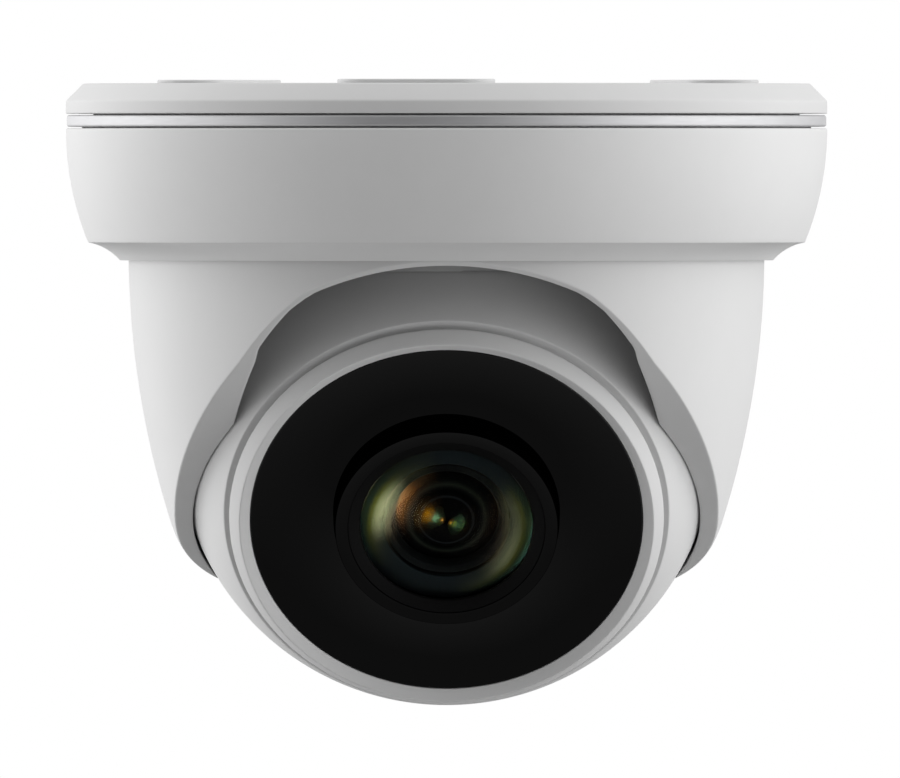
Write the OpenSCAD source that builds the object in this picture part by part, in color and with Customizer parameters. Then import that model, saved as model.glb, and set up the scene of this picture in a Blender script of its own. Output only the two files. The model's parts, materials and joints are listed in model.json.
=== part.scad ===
// Indoor ceiling dome camera. A base plate and a cover hold a hood that pans about Z, the hood
// holds a ball that tilts about X, and the ball holds a camera head that turns about its lens.
// Origin: centre of the ceiling plane, on the pan axis. +Z is up and the lens looks towards -Y.
// Inside the ball, lengths along the lens axis are counted from the ball's centre.

/* [Base] */
// Outer diameter of the base plate and of the cover
base_d = 94; // [93.5:0.5:96]
// Depth of the base plate's edge below the ceiling
base_h = 4.23; // [4:0.01:4.5]
// Size of the chamfer round the base plate
base_chamfer = 2.15; // [1:0.05:2.5]
// Height of the three mounting pads
pad_h = 0.5; // [0.3:0.1:1]
// Length of a mounting pad
pad_length = 19.4; // [16:0.1:22]
// Width of a mounting pad
pad_width = 9.4; // [9:0.1:11]
// Diameter of the circle through the ceiling screws
screw_circle_d = 69.8; // [66:0.1:70]
// Diameter of the ceiling screw holes
screw_hole_d = 4.5; // [4:0.1:5.5]
// Angle of the first ceiling screw from +X
screw_start = 23.9; // [0:0.1:119]
// Diameter of the cable inlet through the grommet
cable_d = 6; // [4:0.5:8]

/* [Cover] */
// Height of the metal trim ring
trim_h = 1.44; // [1:0.02:1.5]
// Gap above and below the trim ring
seam = 0.17; // [0.1:0.01:0.2]
// Depth of the cover's lip below the ceiling
lip_drop = 22.3; // [22.2:0.1:22.6]
// Diameter of the opening that the hood turns in
opening_d = 79.5; // [79.2:0.1:80]

/* [Hood] */
// Largest diameter of the hood
hood_d = 78.5; // [78.2:0.1:78.6]
// Depth of the hood's lower edge below the ceiling
hood_drop = 61.8; // [60.8:0.1:61.8]
// Way the slanted opening faces, as an angle below the horizontal
cut_angle = 47; // [46:0.5:48]
// Largest distance of the slanted opening from the ball's centre
cut_distance = 13.2; // [13:0.1:13.4]

/* [Ball] */
// Diameter of the ball
ball_d = 66.5; // [66.3:0.1:66.6]
// Depth of the ball's centre below the ceiling
ball_drop = 44; // [43.8:0.1:44.2]
// Tilt of the lens below the horizontal at rest
rest_tilt = 30; // [0:1:75]
// Wall of the ball's shells
shell_wall = 2.2; // [2:0.1:2.4]

/* [Camera head] */
// Diameter of the dark front window
window_d = 48.4; // [47.6:0.1:48.6]
// Diameter of the ring round the lens
lens_ring_d = 27.4; // [27:0.1:27.6]
// Diameter of the front glass
glass_d = 21.2; // [20.6:0.1:21.6]
// Number of infrared lamps
lamp_count = 12; // [6:6:12]
// Travel of the infrared filter
filter_travel = 7.2; // [5:0.1:7.4]

/* [Hidden] */
$fn = 120;

// Shared allowances
eps = 0.01;         // overshoot of a cutting tool
gap = 0.25;         // room between pieces that move past each other
fit = 0.05;         // radial room of a shaft in its hole
far = 120;          // longer than the object

// Colours
white = [0.92, 0.92, 0.91];
light_grey = [0.78, 0.78, 0.78];
black = [0.06, 0.06, 0.065];
dark_grey = [0.22, 0.22, 0.23];
steel = [0.72, 0.73, 0.75];
brass = [0.80, 0.65, 0.30];
board_green = [0.08, 0.32, 0.18];
glass_tint = [0.55, 0.66, 0.75, 0.45];

// Base plate
base_r = base_d / 2;
plate_bottom = -pad_h - 2.2;
skirt_r = base_r - 3.4;          // skirt that reaches down inside the cover
skirt_wall = 1.9;
skirt_bottom = -13.6;
screw_boss_r = 5;
screw_boss_h = 1.7;
rib_count = 9;
rib_t = 1.2;
inlet_r = 6.5;                   // hole in the plate for the grommet
inlet_lip_r = 7.5;               // recess for the grommet's upper lip
inlet_lip_z = -1.2;
grommet_flange_r = 8;
lock_count = 3;                  // bayonet locks between base and cover
lock_half = 8;                   // half width of a cover tab, degrees
lock_top = -8;
lock_bottom = -9.6;

// Trim ring and cover
trim_top = -base_h - seam;
trim_bottom = trim_top - trim_h;
cover_top = trim_bottom - seam;
neck_r = base_r - 2;             // neck of the cover that carries the trim ring
cover_arc_r = 37.4;              // bow of the cover's side
cove_r = 6.7;                    // hollow curve under the cover
cove_x = base_r - 1.64;
cove_z = -lip_drop - 4.41;
upper_bore_r = skirt_r + 0.3;
step_z = -15.2;                  // ledge for the pan retainer
lower_bore_r = base_r - 4;
lip_top = -19.6;

// Hood and turntable
hood_r = hood_d / 2;
opening_r = opening_d / 2;
barrel_r = 111;                  // bow of the hood's side
barrel_z = -21;
heel_r = 11.1;                   // rounding towards the hood's lower edge
heel_x = hood_r - 16.05;
heel_z = -51.9;
heel_from = -55.3;
flange_r = base_r - 5.1;
flange_top = step_z - 0.3;
flange_bottom = flange_top - 1.7;
hood_bore_r = 38.5;
flare_low = -42.2;               // the inside widens upwards from here
flare_high = -33.4;
flare_r = 37.6;
taper_high = -28.5;
cut_bow_r = 165;                 // bow of the slanted opening
cut_bow_y = 17;                  // where the bow stands out most, measured along the opening
cut_flat = 10.95;                // distance of the flat at the opening's upper end
cut_flat_y = 37.6;
cut_ramp_y = 25;                 // the flat ramps up to the bow from here
table_r = hood_bore_r - 0.2;
table_top = -18.6;
table_bottom = -20.8;
seat_ring_r = 28.4;
seat_ring_bottom = -23.5;
table_screw_circle = 36.1;
table_screw_angles = [-20, 45, 135, 200];
stop_half = 2.5;                 // half width of each pan and roll stop, degrees
stop_in_r = 36.4;
stop_out_r = 37.6;
stop_top = -14.2;

// Ball
ball_r = ball_d / 2;
ball_in_r = ball_r - shell_wall;
seat_r = ball_r + gap;
split_d = -6;                    // plane between front and rear shell
front_d = 18.8;                  // front edge of the shell
step_r = 26.2;                   // raised step inside the front groove
step_d = 19.3;
bore_r = 24.7;                   // the camera head turns in this bore
shoulder_d = 15;
shell_boss_circle = 28.6;
shell_boss_r = 2.4;
shell_screw_seat = -11.5;
pole_flat = -31.4;               // flat round the ball's cable hole
pole_plate = 2.2;
pole_hole_r = 5.6;
pivot_r = 2;
pivot_face = 30.1;               // inner face of the ball's pivot bosses
pivot_head_r = 3.6;
pivot_seat = 29.4;
pivot_thread_end = 35.6;

// Camera head
bezel_low = 19.6;
bezel_top = 21.35;
bezel_rim_r = 25.4;
window_r = window_d / 2;
window_top = 20.4;
window_bottom = 19;
ledge_d = 18.6;
sleeve_r = bore_r - fit;
sleeve_in_r = 21.4;
sleeve_end = 13.4;
clip_groove_r = 23.8;
clip_low = 14;
clip_high = 14.7;
frame_r = 24.3;
frame_in_r = 14.6;
frame_low = 11.8;
frame_high = sleeve_end - fit;
frame_screw_circle = 22.6;
roll_stop_in_r = 24.9;            // stop tab inside the front shell
roll_stop_out_r = 25.6;           // stop lug on the head frame
post_circle = 18;
post_r = 2.3;
led_board_low = 14;
led_board_high = 15.2;
led_screw_circle = 17.8;
lamp_circle = 18.3;
sensor_board_low = -4;
sensor_board_high = -2.4;
main_board_low = -14;
main_board_high = -12.4;
board_r = 20.5;

// Lens
lens_ring_r = lens_ring_d / 2;
lens_ring_top = 22.4;
lens_ring_in_r = 12.2;
barrel_front_r = lens_ring_in_r - 0.1;
glass_r = glass_d / 2;
glass_seat = 19;
glass_edge = 21.5;
glass_dome_r = 26;
glass_hollow_r = 16;
glass_clear_r = 7.3;
barrel_thread_r = 8;
barrel_end = 1.5;
front_bore_r = 7.4;
rear_bore_r = 5.2;
rear_bore_top = 12.6;
second_edge = 17.2;               // rim of the second element's dome
spacer_low = 18.1;
spacer_in_r = 6.25;
holder_x = 26;
holder_y = 19;
holder_base = 1;
slot_low = -0.9;
slot_high = 0.7;
filter_length = 14.8;
filter_width = 9;

// ---- Helpers ----

// Solid round bar along Z from lo to hi
module rod(r, lo, hi) {
    translate([0, 0, lo])
        cylinder(r = r, h = hi - lo);
}

// Tube along Z from lo to hi
module tube(r_out, r_in, lo, hi) {
    difference() {
        rod(r_out, lo, hi);
        rod(r_in, lo - eps, hi + eps);
    }
}

// Rectangular section between two radii, turned through part of a circle about Z
module arc_block(r_in, r_out, lo, hi, from, sweep) {
    rotate([0, 0, from])
        rotate_extrude(angle = sweep)
            translate([r_in, lo])
                square([r_out - r_in, hi - lo]);
}

// Box centred in X and Y, from lo to hi
module block(x, y, lo, hi) {
    translate([-x / 2, -y / 2, lo])
        cube([x, y, hi - lo]);
}

// Copies round Z at the given angles
module at_angles(angles, radius) {
    for (a = angles)
        rotate([0, 0, a])
            translate([radius, 0, 0])
                children();
}

// Copies at equal steps round Z
module round_circle(count, radius, start = 0) {
    at_angles([for (i = [0 : count - 1]) start + i * 360 / count], radius)
        children();
}

// Pan-head screw: the head's underside is at z = 0 and the shank points down
module screw(shank_r, head_r, head_h, length) {
    slot_w = head_r * 0.36;
    slot_l = head_r * 1.3;
    difference() {
        union() {
            rod(head_r, 0, head_h);
            rod(shank_r, -length, eps);
        }
        block(slot_l, slot_w, head_h * 0.4, head_h + eps);
        block(slot_w, slot_l, head_h * 0.4, head_h + eps);
    }
}

// Ball frame: origin at the ball's centre, +Z out along the lens
module lens_axis() {
    translate([0, 0, -ball_drop])
        rotate([90 + rest_tilt, 0, 0])
            children();
}

// Stadium outline with its long side along Y
module stadium(length, width) {
    straight = length - width;
    square([width, straight], center = true);
    for (side = [-1, 1])
        translate([0, side * straight / 2])
            circle(d = width);
}

// ---- Base ----

// Section of the base plate and its skirt
module base_section() {
    polygon([
        [0, -pad_h],
        [base_r - base_chamfer, -pad_h],
        [base_r, -pad_h - base_chamfer],
        [base_r, -base_h],
        [skirt_r, -base_h],
        [skirt_r, skirt_bottom],
        [skirt_r - skirt_wall, skirt_bottom],
        [skirt_r - skirt_wall, plate_bottom],
        [0, plate_bottom]
    ]);
}

// Slots in the skirt: each cover tab comes up its entry and turns into the level part
module bayonet_slots() {
    room = 2;
    entry = 18;
    near = skirt_r - 3;
    beyond = skirt_r + 1;
    for (i = [0 : lock_count - 1])
        rotate([0, 0, i * 360 / lock_count]) {
            arc_block(near, beyond, lock_bottom - 0.3, lock_top + 0.3,
                -lock_half - room, 2 * (lock_half + room) + entry - 1);
            arc_block(near - 0.5, beyond + 0.5, skirt_bottom - 1, lock_top + 0.15,
                lock_half + room, entry);
        }
}

module base_plate() {
    color(white)
    difference() {
        union() {
            rotate_extrude()
                base_section();
            round_circle(3, screw_circle_d / 2, screw_start) {
                translate([0, 0, -pad_h - eps])
                    linear_extrude(pad_h + eps)
                        stadium(pad_length, pad_width);
                rod(screw_boss_r, plate_bottom - screw_boss_h, plate_bottom + eps);
            }
            round_circle(rib_count, 0, screw_start + 180 / rib_count)
                translate([grommet_flange_r + 2, -rib_t / 2, plate_bottom - rib_t])
                    cube([skirt_r - skirt_wall - grommet_flange_r - 1.5, rib_t, rib_t + eps]);
        }
        rod(inlet_r, -far, far);
        rod(inlet_lip_r, inlet_lip_z, far);
        round_circle(3, screw_circle_d / 2, screw_start)
            rod(screw_hole_d / 2, -far, far);
        bayonet_slots();
    }
}

module cable_grommet() {
    top = -pad_h - 0.05;
    color(dark_grey)
    difference() {
        union() {
            rod(inlet_lip_r, inlet_lip_z, top);
            rod(inlet_r, plate_bottom, inlet_lip_z + eps);
            rod(grommet_flange_r, plate_bottom - 1.3, plate_bottom);
        }
        rod(cable_d / 2, -far, far);
    }
}

module trim_ring() {
    color(steel)
        tube(base_r - 0.12, neck_r + fit, trim_bottom, trim_top);
}

// Section of the cover: bowed side, hollow curve below, stepped bore inside
module cover_section() {
    difference() {
        union() {
            intersection() {
                translate([base_r - cover_arc_r, cover_top])
                    circle(r = cover_arc_r, $fn = 240);
                translate([opening_r, -lip_drop])
                    square([base_r, lip_drop + cover_top]);
            }
            translate([opening_r, cover_top - 1])
                square([neck_r - opening_r, trim_top - cover_top + 1]);
        }
        translate([cove_x, cove_z])
            circle(r = cove_r);
        translate([0, step_z])
            square([upper_bore_r, far]);
        translate([0, lip_top])
            square([lower_bore_r, far]);
    }
}

module cover() {
    color(white)
    union() {
        rotate_extrude()
            cover_section();
        for (i = [0 : lock_count - 1])
            arc_block(skirt_r - 1.1, upper_bore_r + 0.3, lock_bottom, lock_top,
                i * 360 / lock_count - lock_half, 2 * lock_half);
    }
}

module pan_friction_ring() {
    color(dark_grey)
        tube(lower_bore_r - 0.4, opening_r + 0.35, lip_top, flange_bottom - gap);
}

module pan_retainer() {
    color(light_grey)
    union() {
        tube(skirt_r, stop_out_r + 1, step_z, skirt_bottom - 0.1);
        arc_block(stop_in_r - 0.2, stop_out_r + 1.5, step_z, skirt_bottom - 0.1,
            90 - stop_half, 2 * stop_half);
    }
}

// ---- Hood ----

// What the slanted opening takes away: all beyond a long bow, a short ramp and a flat, seen from the
// side. Along the opening X points up to the front, and Y is the distance from the ball's centre.
module opening_side() {
    half = far / 2;
    union() {
        difference() {
            translate([-half, 0])
                square([far, far]);
            translate([cut_bow_y, cut_distance - cut_bow_r])
                circle(r = cut_bow_r, $fn = 360);
        }
        polygon([
            [cut_ramp_y, cut_distance + 0.1],
            [cut_flat_y, cut_flat],
            [half, cut_flat],
            [half, far],
            [cut_ramp_y, far]
        ]);
    }
}

module slanted_cut() {
    translate([0, 0, -ball_drop])
        rotate([90 + cut_angle, 0, 0])
            rotate([90, 0, 90])
                linear_extrude(far, center = true)
                    opening_side();
}

// Outer outline of the hood, from its neck to its lower edge
module hood_outline() {
    intersection() {
        translate([hood_r - barrel_r, barrel_z])
            circle(r = barrel_r, $fn = 360);
        union() {
            translate([0, heel_from])
                square([hood_r, barrel_z - heel_from + 1]);
            translate([heel_x, heel_z])
                circle(r = heel_r);
        }
        translate([0, -hood_drop])
            square([hood_r, hood_drop]);
    }
}

module hood_section() {
    difference() {
        union() {
            hood_outline();
            translate([0, barrel_z - 1])
                square([hood_r, flange_top - barrel_z + 1]);
            translate([0, flange_bottom])
                square([flange_r, flange_top - flange_bottom]);
        }
        translate([0, -ball_drop])
            circle(r = seat_r, $fn = 240);
        polygon([
            [0, -ball_drop],
            [seat_r, -ball_drop],
            [seat_r + 0.15, flare_low],
            [flare_r, flare_high],
            [hood_bore_r, taper_high],
            [hood_bore_r, 0],
            [0, 0]
        ]);
    }
}

module hood() {
    boss_r = 2.5;
    boss_bottom = -31.5;
    color(white)
    difference() {
        union() {
            rotate_extrude()
                hood_section();
            at_angles(table_screw_angles, table_screw_circle)
                rod(boss_r, boss_bottom, table_bottom);
        }
        slanted_cut();
        at_angles(table_screw_angles, table_screw_circle)
            rod(1.1, boss_bottom + 3, 0);
        for (side = [0, 180])
            translate([0, 0, -ball_drop])
                rotate([0, 90, side])
                    rod(1.5, ball_r - 1, pivot_thread_end + 0.2);
    }
}

module turntable() {
    color(light_grey)
    difference() {
        union() {
            rod(table_r, table_bottom, table_top);
            rod(seat_ring_r, seat_ring_bottom, table_bottom + eps);
            arc_block(stop_in_r, stop_out_r, table_top - eps, stop_top, -90 - stop_half, 2 * stop_half);
            arc_block(33.6, 35.2, -23.6, table_bottom + eps, -115, 28.1);
        }
        translate([0, 0, -ball_drop])
            sphere(r = seat_r);
        arc_block(29.4, 34.2, table_bottom - 1, table_top + 1, 62, 56);
        at_angles(table_screw_angles, table_screw_circle)
            rod(1.3, table_bottom - 1, table_top + 1);
    }
}

module turntable_screws() {
    color(steel)
    at_angles(table_screw_angles, table_screw_circle)
        translate([0, 0, table_top])
            screw(1.05, 1.9, 1.3, 8);
}

// Shoulder screws that the ball tilts on, driven from inside the ball into the hood
module pivot_screws() {
    shoulder_end = ball_r + 0.15;
    color(steel)
    for (side = [0, 180])
        translate([0, 0, -ball_drop])
            rotate([0, 90, side])
                difference() {
                    union() {
                        rod(pivot_head_r, pivot_seat - 1.5, pivot_seat);
                        rod(pivot_r, pivot_seat - eps, shoulder_end);
                        rod(1.45, shoulder_end - eps, pivot_thread_end);
                    }
                    rotate([0, 0, 30])
                        translate([0, 0, pivot_seat - 1.5 - eps])
                            cylinder(r = 1.5, h = 1, $fn = 6);
                }
}

module tilt_washers() {
    color(steel)
    for (side = [0, 180])
        translate([0, 0, -ball_drop])
            rotate([0, 90, side])
                tube(pivot_head_r + 0.3, pivot_r + fit, pivot_seat, pivot_face - 0.15);
}

// ---- Ball ----

// Section of the front shell, lens axis upwards
module front_shell_section() {
    difference() {
        union() {
            intersection() {
                circle(r = ball_r, $fn = 240);
                translate([0, split_d])
                    square([ball_r, front_d - split_d]);
            }
            translate([0, front_d - 2])
                square([step_r, step_d - front_d + 2]);
        }
        intersection() {
            circle(r = ball_in_r, $fn = 240);
            translate([0, -ball_r])
                square([ball_r, ball_r + shoulder_d]);
        }
        translate([0, -ball_r])
            square([bore_r, 2 * ball_r]);
    }
}

module front_shell() {
    color(white)
    lens_axis()
        difference() {
            union() {
                rotate_extrude()
                    front_shell_section();
                round_circle(3, shell_boss_circle, 90)
                    intersection() {
                        rod(shell_boss_r, split_d + 0.5, 3);
                        translate([-shell_boss_circle, 0, 0])
                            sphere(r = ball_in_r + 0.5);
                    }
                for (side = [0, 180])
                    rotate([0, 90, side])
                        rod(pivot_head_r + 0.35, pivot_face, ball_in_r + 0.8);
                arc_block(roll_stop_in_r, frame_r + 4.6, frame_low, frame_high,
                    -90 - stop_half, 2 * stop_half);
            }
            for (side = [0, 180])
                rotate([0, 90, side])
                    rod(pivot_r + fit, pivot_face - 1, ball_r + 1);
            round_circle(3, shell_boss_circle, 90)
                rod(1.05, split_d, 1.5);
        }
}

module rear_shell() {
    lip_r = ball_in_r - 0.1;
    lip_wall = 1.4;
    boss_r = 3.3;
    color(white)
    lens_axis()
        difference() {
            union() {
                rotate_extrude()
                    difference() {
                        intersection() {
                            circle(r = ball_r, $fn = 240);
                            translate([0, pole_flat])
                                square([ball_r, split_d - 0.1 - pole_flat]);
                        }
                        intersection() {
                            circle(r = ball_in_r, $fn = 240);
                            translate([0, pole_flat + pole_plate])
                                square([ball_r, ball_r]);
                        }
                    }
                difference() {
                    rotate_extrude()
                        intersection() {
                            difference() {
                                circle(r = lip_r + 0.2, $fn = 240);
                                circle(r = lip_r - lip_wall, $fn = 240);
                            }
                            union() {
                                translate([0, split_d - 3])
                                    square([ball_r, 2.9]);
                                intersection() {
                                    circle(r = lip_r, $fn = 240);
                                    translate([0, split_d - 1])
                                        square([ball_r, 3]);
                                }
                            }
                        }
                    round_circle(3, shell_boss_circle, 90)
                        rod(shell_boss_r + 0.4, split_d - 0.1, 3);
                }
                round_circle(3, shell_boss_circle, 90)
                    intersection() {
                        rod(boss_r, -ball_r, split_d - 0.1);
                        translate([-shell_boss_circle, 0, 0])
                            difference() {
                                sphere(r = ball_r - eps);
                                translate([0, 0, split_d - ball_r])
                                    cylinder(r = shell_boss_circle - boss_r - 0.5, h = ball_r);
                            }
                    }
            }
            rod(pole_hole_r, -far, pole_flat + far / 4);
            round_circle(3, shell_boss_circle, 90) {
                rod(1.25, -ball_r, 0);
                rod(2.2, -ball_r, shell_screw_seat);
            }
        }
}

module shell_screws() {
    color(steel)
    lens_axis()
        round_circle(3, shell_boss_circle, 90)
            translate([0, 0, shell_screw_seat])
                rotate([180, 0, 0])
                    screw(1, 1.9, 1.2, 12);
}

module rear_grommet() {
    inner = pole_flat + pole_plate;
    color(dark_grey)
    lens_axis()
        difference() {
            union() {
                rod(6.8, pole_flat - 0.8, pole_flat);
                rod(pole_hole_r - fit, pole_flat - eps, inner + eps);
                rod(7, inner, inner + 1);
            }
            rod(2.6, -far, 0);
        }
}

// ---- Camera head ----

// Section of the bezel: rounded band, sloping rim, window pocket and turning sleeve
module bezel_section() {
    difference() {
        union() {
            intersection() {
                circle(r = ball_r, $fn = 240);
                translate([0, bezel_low])
                    square([ball_r, bezel_top - bezel_low]);
            }
            translate([0, sleeve_end])
                square([sleeve_r, bezel_low - sleeve_end + eps]);
        }
        translate([0, sleeve_end - 1])
            square([sleeve_in_r, far]);
        translate([0, ledge_d])
            square([window_r, far]);
        polygon([
            [window_r - 1, window_top],
            [window_r, window_top],
            [bezel_rim_r, bezel_top],
            [bezel_rim_r, bezel_top + 1],
            [window_r - 1, bezel_top + 1]
        ]);
        translate([clip_groove_r, clip_low])
            square([5, clip_high - clip_low]);
    }
}

module bezel() {
    color(white)
    lens_axis()
        difference() {
            rotate_extrude()
                bezel_section();
            round_circle(3, frame_screw_circle, 60)
                rod(0.75, sleeve_end - 1, sleeve_end + 3.8);
        }
}

module window_gasket() {
    color(black)
    lens_axis()
        tube(window_r - 0.1, sleeve_in_r + 0.3, ledge_d, window_bottom);
}

module front_window() {
    color(black)
    lens_axis()
        tube(window_r - 0.05, lens_ring_r + 0.15, window_bottom, window_top);
}

module roll_clip() {
    opening = 24;
    color(steel)
    lens_axis()
        arc_block(clip_groove_r + fit, 26, clip_low + fit, clip_high - fit, 90 + opening / 2, 360 - opening);
}

module head_frame() {
    color(dark_grey)
    lens_axis()
        difference() {
            union() {
                tube(frame_r, frame_in_r, frame_low, frame_high);
                round_circle(3, led_screw_circle)
                    rod(1.8, frame_high - eps, led_board_low);
                round_circle(4, post_circle, 45)
                    rod(post_r, sensor_board_high, frame_low + eps);
                arc_block(frame_r - 0.2, roll_stop_out_r, frame_low, frame_high,
                    90 - stop_half, 2 * stop_half);
            }
            round_circle(3, led_screw_circle)
                rod(0.75, frame_low - 1, led_board_low + 1);
            round_circle(4, post_circle, 45)
                rod(1.15, sensor_board_high - 1, 3);
            round_circle(3, frame_screw_circle, 60)
                rod(0.9, frame_low - 1, frame_high + 1);
            translate([0, -21.2, 0])
                block(8.4, 2.2, frame_low - 1, frame_high + 1);
        }
}

module frame_screws() {
    color(steel)
    lens_axis()
        round_circle(3, frame_screw_circle, 60)
            translate([0, 0, frame_low])
                rotate([180, 0, 0])
                    screw(0.7, 1.5, 0.9, 4.6);
}

module led_board() {
    color(board_green)
    lens_axis()
        difference() {
            tube(sleeve_in_r - 0.3, frame_in_r - 0.2, led_board_low, led_board_high);
            round_circle(3, led_screw_circle)
                rod(0.85, led_board_low - 1, led_board_high + 1);
        }
}

module led_board_screws() {
    color(steel)
    lens_axis()
        round_circle(3, led_screw_circle)
            translate([0, 0, led_board_high])
                screw(0.7, 1.5, 0.9, 3.2);
}

// One infrared lamp: square case with a small dome
module lamp() {
    case_w = 3.2;
    case_h = 0.9;
    dome_r = 1.35;
    block(case_w, case_w, led_board_high, led_board_high + case_h);
    rod(dome_r, led_board_high, led_board_high + case_h + 0.5);
    translate([0, 0, led_board_high + case_h + 0.5])
        sphere(r = dome_r, $fn = 48);
}

module ir_leds() {
    color(glass_tint)
    lens_axis()
        round_circle(lamp_count, lamp_circle, 15)
            lamp();
}

module light_sensor() {
    color(brass)
    lens_axis()
        translate([0, lamp_circle, 0])
            union() {
                rod(1.4, led_board_high, led_board_high + 1.6);
                block(3.2, 2, led_board_high, led_board_high + 0.6);
            }
}

module light_seal() {
    color(black)
    lens_axis()
        tube(15.8, 14.1, led_board_high, window_bottom);
}

// Flat ribbon from the lamp board down to the main board
module led_ribbon() {
    t = 0.3;
    run_y = -20.85;
    low = main_board_high + 1.2;
    color(light_grey)
    lens_axis()
        rotate([90, 0, 90])
            linear_extrude(7, center = true)
                polygon([
                    [-17.5, led_board_low - fit],
                    [run_y - t / 2, led_board_low - fit],
                    [run_y - t / 2, low - t],
                    [-17, low - t],
                    [-17, main_board_high],
                    [-16, main_board_high],
                    [-16, low],
                    [run_y + t / 2, low],
                    [run_y + t / 2, led_board_low - fit - t],
                    [-17.5, led_board_low - fit - t]
                ]);
}

// ---- Lens ----

module lens_ring() {
    color(black)
    lens_axis()
        union() {
            tube(lens_ring_r, lens_ring_in_r, frame_high, lens_ring_top);
            tube(15.6, lens_ring_in_r, frame_high, led_board_low);
        }
}

module lens_barrel() {
    color(black)
    lens_axis()
        rotate_extrude()
            polygon([
                [rear_bore_r, barrel_end],
                [barrel_thread_r, barrel_end],
                [barrel_thread_r, 10],
                [10.8, 11],
                [barrel_front_r, 14.6],
                [barrel_front_r, lens_ring_top - 0.1],
                [glass_r + 0.1, glass_edge + 0.2],
                [glass_r + 0.1, glass_seat],
                [front_bore_r, glass_seat],
                [front_bore_r, rear_bore_top],
                [rear_bore_r, rear_bore_top]
            ]);
}

// Domed front glass, hollow behind
module front_element() {
    dome_z = glass_edge - sqrt(pow(glass_dome_r, 2) - pow(glass_r, 2));
    hollow_z = glass_seat - sqrt(pow(glass_hollow_r, 2) - pow(glass_clear_r, 2));
    color(glass_tint)
    lens_axis()
        rotate_extrude()
            difference() {
                intersection() {
                    translate([0, dome_z])
                        circle(r = glass_dome_r, $fn = 360);
                    translate([0, glass_seat])
                        square([glass_r, glass_dome_r]);
                }
                translate([0, hollow_z])
                    circle(r = glass_hollow_r, $fn = 240);
            }
}

module lens_spacer() {
    color(black)
    lens_axis()
        tube(front_bore_r - fit, spacer_in_r, spacer_low, glass_seat - fit);
}

module second_element() {
    dome = 12;
    r = front_bore_r - fit;
    color(glass_tint)
    lens_axis()
        rotate_extrude()
            intersection() {
                translate([0, second_edge - sqrt(pow(dome, 2) - pow(r, 2))])
                    circle(r = dome, $fn = 240);
                translate([0, rear_bore_top])
                    square([r, dome]);
            }
}

module aperture_stop() {
    color(black)
    lens_axis()
        tube(rear_bore_r - fit, 1.9, 8.6, 9);
}

module rear_element() {
    dome = 8;
    r = rear_bore_r - fit;
    color(glass_tint)
    lens_axis()
        rotate_extrude()
            intersection() {
                translate([0, 4.6 - sqrt(pow(dome, 2) - pow(r, 2))])
                    circle(r = dome, $fn = 240);
                translate([0, 2])
                    square([r, 6]);
            }
}

// Threaded lens mount with the chamber that the infrared filter slides in
module lens_holder() {
    color(dark_grey)
    lens_axis()
        difference() {
            union() {
                block(holder_x, holder_y, sensor_board_high, holder_base);
                rod(10.2, holder_base - eps, 9);
            }
            rod(barrel_thread_r + fit, holder_base, 10);
            rod(5, slot_low, holder_base + 1);
            block(filter_length + filter_travel + 0.8, filter_width + 0.8, slot_low, slot_high);
            block(12, 10, sensor_board_high - 1, slot_low + eps);
        }
}

module filter_coil() {
    color(brass)
    lens_axis()
        translate([0, holder_y / 2 + 2.4, 0.1])
            rotate([0, 90, 0])
                union() {
                    rod(1.8, -7, 7);
                    for (end = [-7, 6])
                        rod(2.3, end, end + 1);
                }
}

module image_sensor() {
    color(dark_grey)
    lens_axis()
        union() {
            block(9.6, 8, sensor_board_high, sensor_board_high + 0.8);
            block(8.2, 6.6, sensor_board_high, sensor_board_high + 1.1);
        }
}

// Round circuit board with the four fixing holes
module round_board(low, high) {
    difference() {
        rod(board_r, low, high);
        round_circle(4, post_circle, 45)
            rod(1.2, low - 1, high + 1);
    }
}

module sensor_board() {
    color(board_green)
    lens_axis()
        round_board(sensor_board_low, sensor_board_high);
}

// Hexagonal brass spacers with a stud that screws into the frame's posts
module board_spacers() {
    color(brass)
    lens_axis()
        round_circle(4, post_circle, 45)
            difference() {
                union() {
                    translate([0, 0, main_board_high])
                        cylinder(r = 2.4, h = sensor_board_low - main_board_high, $fn = 6);
                    rod(1.1, sensor_board_low - eps, 1.5);
                }
                rod(1.15, main_board_high - 1, -8);
            }
}

module board_connector() {
    color(black)
    lens_axis()
        translate([0, 13.5, 0])
            union() {
                block(13, 3.6, main_board_high, -8.3);
                block(11.8, 2.4, -8.3 - eps, -7.4);
                block(13, 3.6, -7.4 - eps, sensor_board_low);
            }
}

module main_board() {
    color(board_green)
    lens_axis()
        round_board(main_board_low, main_board_high);
}

module main_board_screws() {
    color(steel)
    lens_axis()
        round_circle(4, post_circle, 45)
            translate([0, 0, main_board_low])
                rotate([180, 0, 0])
                    screw(1.1, 2, 1.2, 4);
}

module processor() {
    color(black)
    lens_axis()
        translate([-3, 2, 0])
            block(14, 14, main_board_low - 1.5, main_board_low);
}

// Memory chip, coils and capacitors on the back of the main board
module board_parts() {
    color(dark_grey)
    lens_axis() {
        translate([-2, -9.5, 0])
            block(10, 6.5, main_board_low - 1, main_board_low);
        for (y = [-4.5, 2.5])
            translate([10, y, 0])
                block(5.6, 5.6, main_board_low - 3, main_board_low);
        for (x = [-2, 4])
            translate([x, -15.6, 0])
                rod(2, main_board_low - 5.4, main_board_low);
    }
}

module cable_socket() {
    color([0.9, 0.88, 0.8])
    lens_axis()
        translate([-1, 14.5, 0])
            difference() {
                block(16, 5, main_board_low - 5, main_board_low);
                block(14.4, 3.4, main_board_low - 5 - eps, main_board_low - 1.2);
            }
}

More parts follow.
